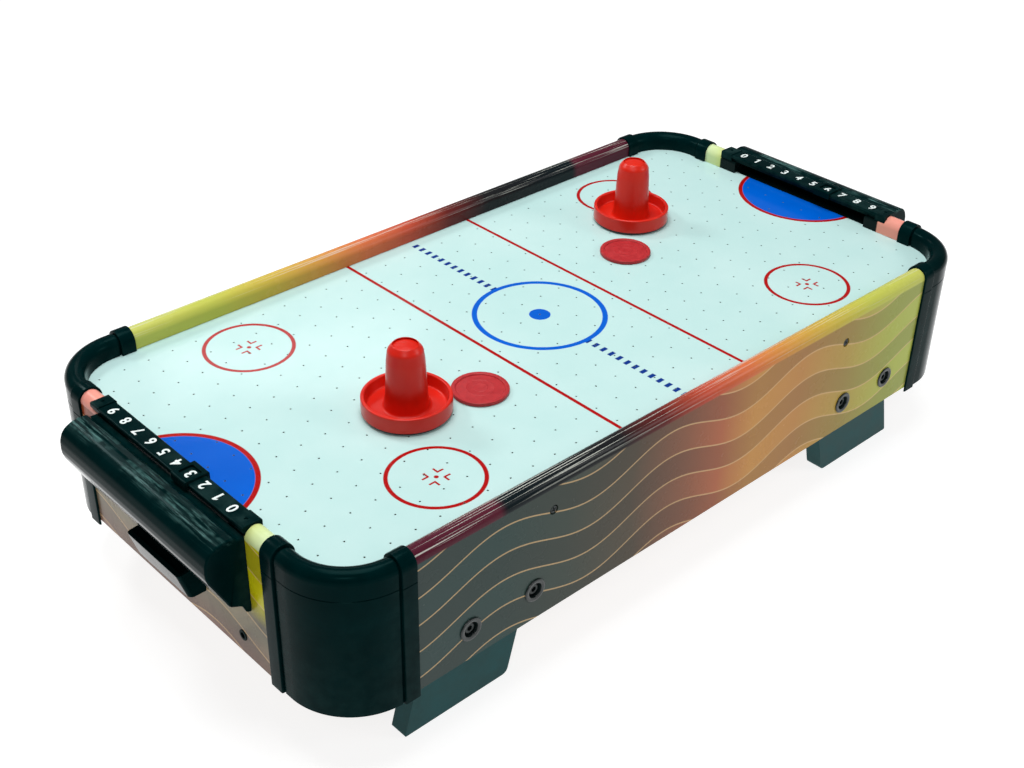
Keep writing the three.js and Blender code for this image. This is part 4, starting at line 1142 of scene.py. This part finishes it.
def impeller():
    low, high = FAN_LOW + 4, FAN_HIGH - 3
    wheel = lathe([(0, low + 4), (2.05, low + 4), (2.05, high - 2), (HUB_R - 2.5, high - 2),
                   (HUB_R - 2.5, low), (HUB_R - 0.5, low), (HUB_R - 0.5, high - 1), (HUB_R - 1.5, high),
                   (0, high)], 64)
    span, steps = (HUB_R - 1, FAN_BORE_R - 2.8), 8
    for i in range(7):
        rings = []
        for k in range(steps + 1):
            r = span[0] + (span[1] - span[0]) * k / steps
            pitch = 0.92 - 0.34 * k / steps
            ring = []
            chord = 9.8 + 1.0 * k / steps
            for t in (-1, -0.5, 0, 0.5, 1, 1, 0.5, 0, -0.5, -1):
                thick = 0.8 if len(ring) < 5 else -0.8
                bow = 1.6 * (1 - t * t)
                u, w = t * chord, thick + bow - 0.8
                lift = u * math.sin(pitch) * 0.8 + w * math.cos(pitch)
                ring.append((r, u * math.cos(pitch) - w * math.sin(pitch), (low + high) / 2 + lift))
            rings.append(ring)
        blade = moved(loft(rings), Matrix.Rotation(2 * math.pi * i / 7, 4, "Z"))
        wheel = carved(wheel, blade, "UNION")
    return wheel


def fan_guard():
    high = FAN_LOW - GAP
    low = high - 2
    rings = [lathe(rounded([(r - w, low), (r + w, low), (r + w, high), (r - w, high)], 0.7, 3), 96)
             for r, w in ((56, 2), (39.2, 1.3), (22.2, 1.3))]
    whole = joined(*rings)
    for i in range(4):
        spoke = slab((22, 79), (-3.4, 3.4), (low + 0.05, high - 0.05))
        spoke = carved(spoke, pillar(2.3, low - 1, high + 1, 24, FAN_SCREW_XY * math.sqrt(2)))
        whole = carved(whole, moved(spoke, Matrix.Rotation(math.pi / 4 + i * math.pi / 2, 4, "Z")), "UNION")
    return whole


piece("fan_housing", fan_frame(), "black_fan", node="fan_frame", bevel=0.3)
piece("fan_wheel", impeller(), "black_fan", "fan_impeller", "fan_impeller", angle=35)
piece("fan_grille", fan_guard(), "black_fan", node="fan_guard")
for k, sign in (("front", -1), ("back", 1)):
    at = shift(sign * FAN_SCREW_XY, sign * FAN_SCREW_XY, FAN_LOW - 2 * GAP - 2)
    screw = moved(phillips_screw(3.6, 2.2, 1.7, 30), at)
    piece(f"fan_fixing_{k}", screw, "steel", node=f"fan_screw_{k}")

for node, material in (
    ("fan_stator", "copper"), ("batten_left", "pine"), ("batten_right", "pine"),
    ("power_jack", "black_fan"), ("switch_body", "black_fan"), ("switch_rocker", "rocker"),
):
    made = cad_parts[node]
    made.data.materials.clear()
    made.data.materials.append(M[material])


def tube(name, points, radius, node):
    """A smooth lead through points, as a mesh."""
    curve = bpy.data.curves.new(name, "CURVE")
    curve.dimensions = "3D"
    curve.bevel_depth = radius * MM
    curve.bevel_resolution = 4
    curve.use_fill_caps = True
    curve.resolution_u = 10
    spline = curve.splines.new("BEZIER")
    spline.bezier_points.add(len(points) - 1)
    for point, place in zip(spline.bezier_points, points):
        point.co = Vector(place) * MM
        point.handle_left_type = point.handle_right_type = "AUTO"
    source = added(name + "_path", curve)
    bpy.context.view_layer.update()
    mesh = bpy.data.meshes.new_from_object(source.evaluated_get(bpy.context.evaluated_depsgraph_get()))
    bpy.data.objects.remove(source)
    bpy.data.curves.remove(curve)
    for face in mesh.polygons:
        face.use_smooth = True
    placed(name, mesh, "lead", "table", node)


LEAD_Z = BASE_Z - 5
tube("lead_to_switch", [
    (-OUTER_X + 22, SOCKET_Y, SOCKET_Z), (-OUTER_X + 34, SOCKET_Y, SOCKET_Z), (-335, -93, LEAD_Z - 10),
    (-300, -100, LEAD_Z), (-100, -104, LEAD_Z), (60, -96, LEAD_Z), (180, -20, LEAD_Z), (300, 60, LEAD_Z),
    (335, 78, LEAD_Z - 10), (OUTER_X - 30, -SOCKET_Y - 4, SOCKET_Z), (OUTER_X - 17, -SOCKET_Y - 4, SOCKET_Z),
], 1.7, "jack_lead")
tube("lead_to_fan", [
    (OUTER_X - 17, -SOCKET_Y + 4, SOCKET_Z), (OUTER_X - 30, -SOCKET_Y + 4, SOCKET_Z), (335, 96, LEAD_Z - 10),
    (300, 90, LEAD_Z), (150, 50, LEAD_Z), (95, 32, LEAD_Z - 3), (74, 28, LEAD_Z - 5),
    (FAN_HALF + 0.6, 28, LEAD_Z - 5),
], 1.7, "fan_lead")


# ---------------------------------------------------------------- floor, lights, camera


def stage_floor():
    bm = bmesh.new()
    bmesh.ops.create_grid(bm, x_segments=1, y_segments=1, size=12.0)
    mesh = bpy.data.meshes.new("floor")
    bm.to_mesh(mesh)
    bm.free()
    floor = added("floor", mesh)
    s = Shader("floor_paper", roughness=0.9, Specular_IOR_Level=0.1, Emission_Color=(1, 1, 1, 1),
               Emission_Strength=0.83)
    s.colour(s.mix(s.spread(s.noise(2, 2), 0.3, 0.7), (0.34, 0.345, 0.345, 1), (0.36, 0.365, 0.365, 1)))
    mesh.materials.append(s.mat)


def softbox(name, place, target, size, power):
    light = bpy.data.lights.new(name, "AREA")
    light.shape = "RECTANGLE"
    light.size, light.size_y = size
    light.energy = power
    made = added(name, light)
    made.location = place
    made.rotation_euler = (Vector(target) - Vector(place)).to_track_quat("-Z", "Y").to_euler()


def camera():
    """The view: azimuth and elevation round a point of the playfield, with a slight roll."""
    azimuth, elevation, roll = (math.radians(v) for v in (-43.39, 33.02, 1.10))
    distance, target = 1.2458, Vector((-0.0998, -0.0699, PLAY_Z * MM))
    flat = math.cos(elevation)
    back = Vector((math.sin(azimuth) * flat, -math.cos(azimuth) * flat, math.sin(elevation)))
    right = Vector((0, 0, 1)).cross(back).normalized()
    up = back.cross(right)
    right, up = (right * math.cos(roll) + up * math.sin(roll), up * math.cos(roll) - right * math.sin(roll))
    data = bpy.data.cameras.new("camera")
    data.sensor_width = 36
    data.lens = 51.06
    made = added("camera", data)
    turn = Matrix((right, up, back)).transposed().to_4x4()
    made.matrix_world = Matrix.Translation(target + back * distance) @ turn
    bpy.context.scene.camera = made


stage_floor()
softbox("overhead", (-0.1, 0.1, 2.0), (0, 0, 0.1), (1.3, 1.0), 30.5)
softbox("behind", (0.62, 1.37, 1.13), (-0.2, 0.1, PLAY_Z * MM), (0.55, 0.12), 1.0)
softbox("back_left", (-0.45, 1.35, 1.4), (-0.3, 0, 0.15), (0.4, 0.3), 8)
softbox("front_left", (-1.7, -1.5, 2.2), (0, 0, 0.15), (0.7, 0.5), 9)
softbox("front_right", (1.5, -1.6, 1.3), (0, 0, 0.15), (0.8, 0.5), 9)
world = bpy.data.worlds.new("studio")
world.use_nodes = True
world.node_tree.nodes["Background"].inputs[0].default_value = (0.94, 0.98, 1.0, 1)
world.node_tree.nodes["Background"].inputs[1].default_value = 0.17
bpy.context.scene.world = world
bpy.context.scene.view_settings.view_transform = "Standard"
camera()
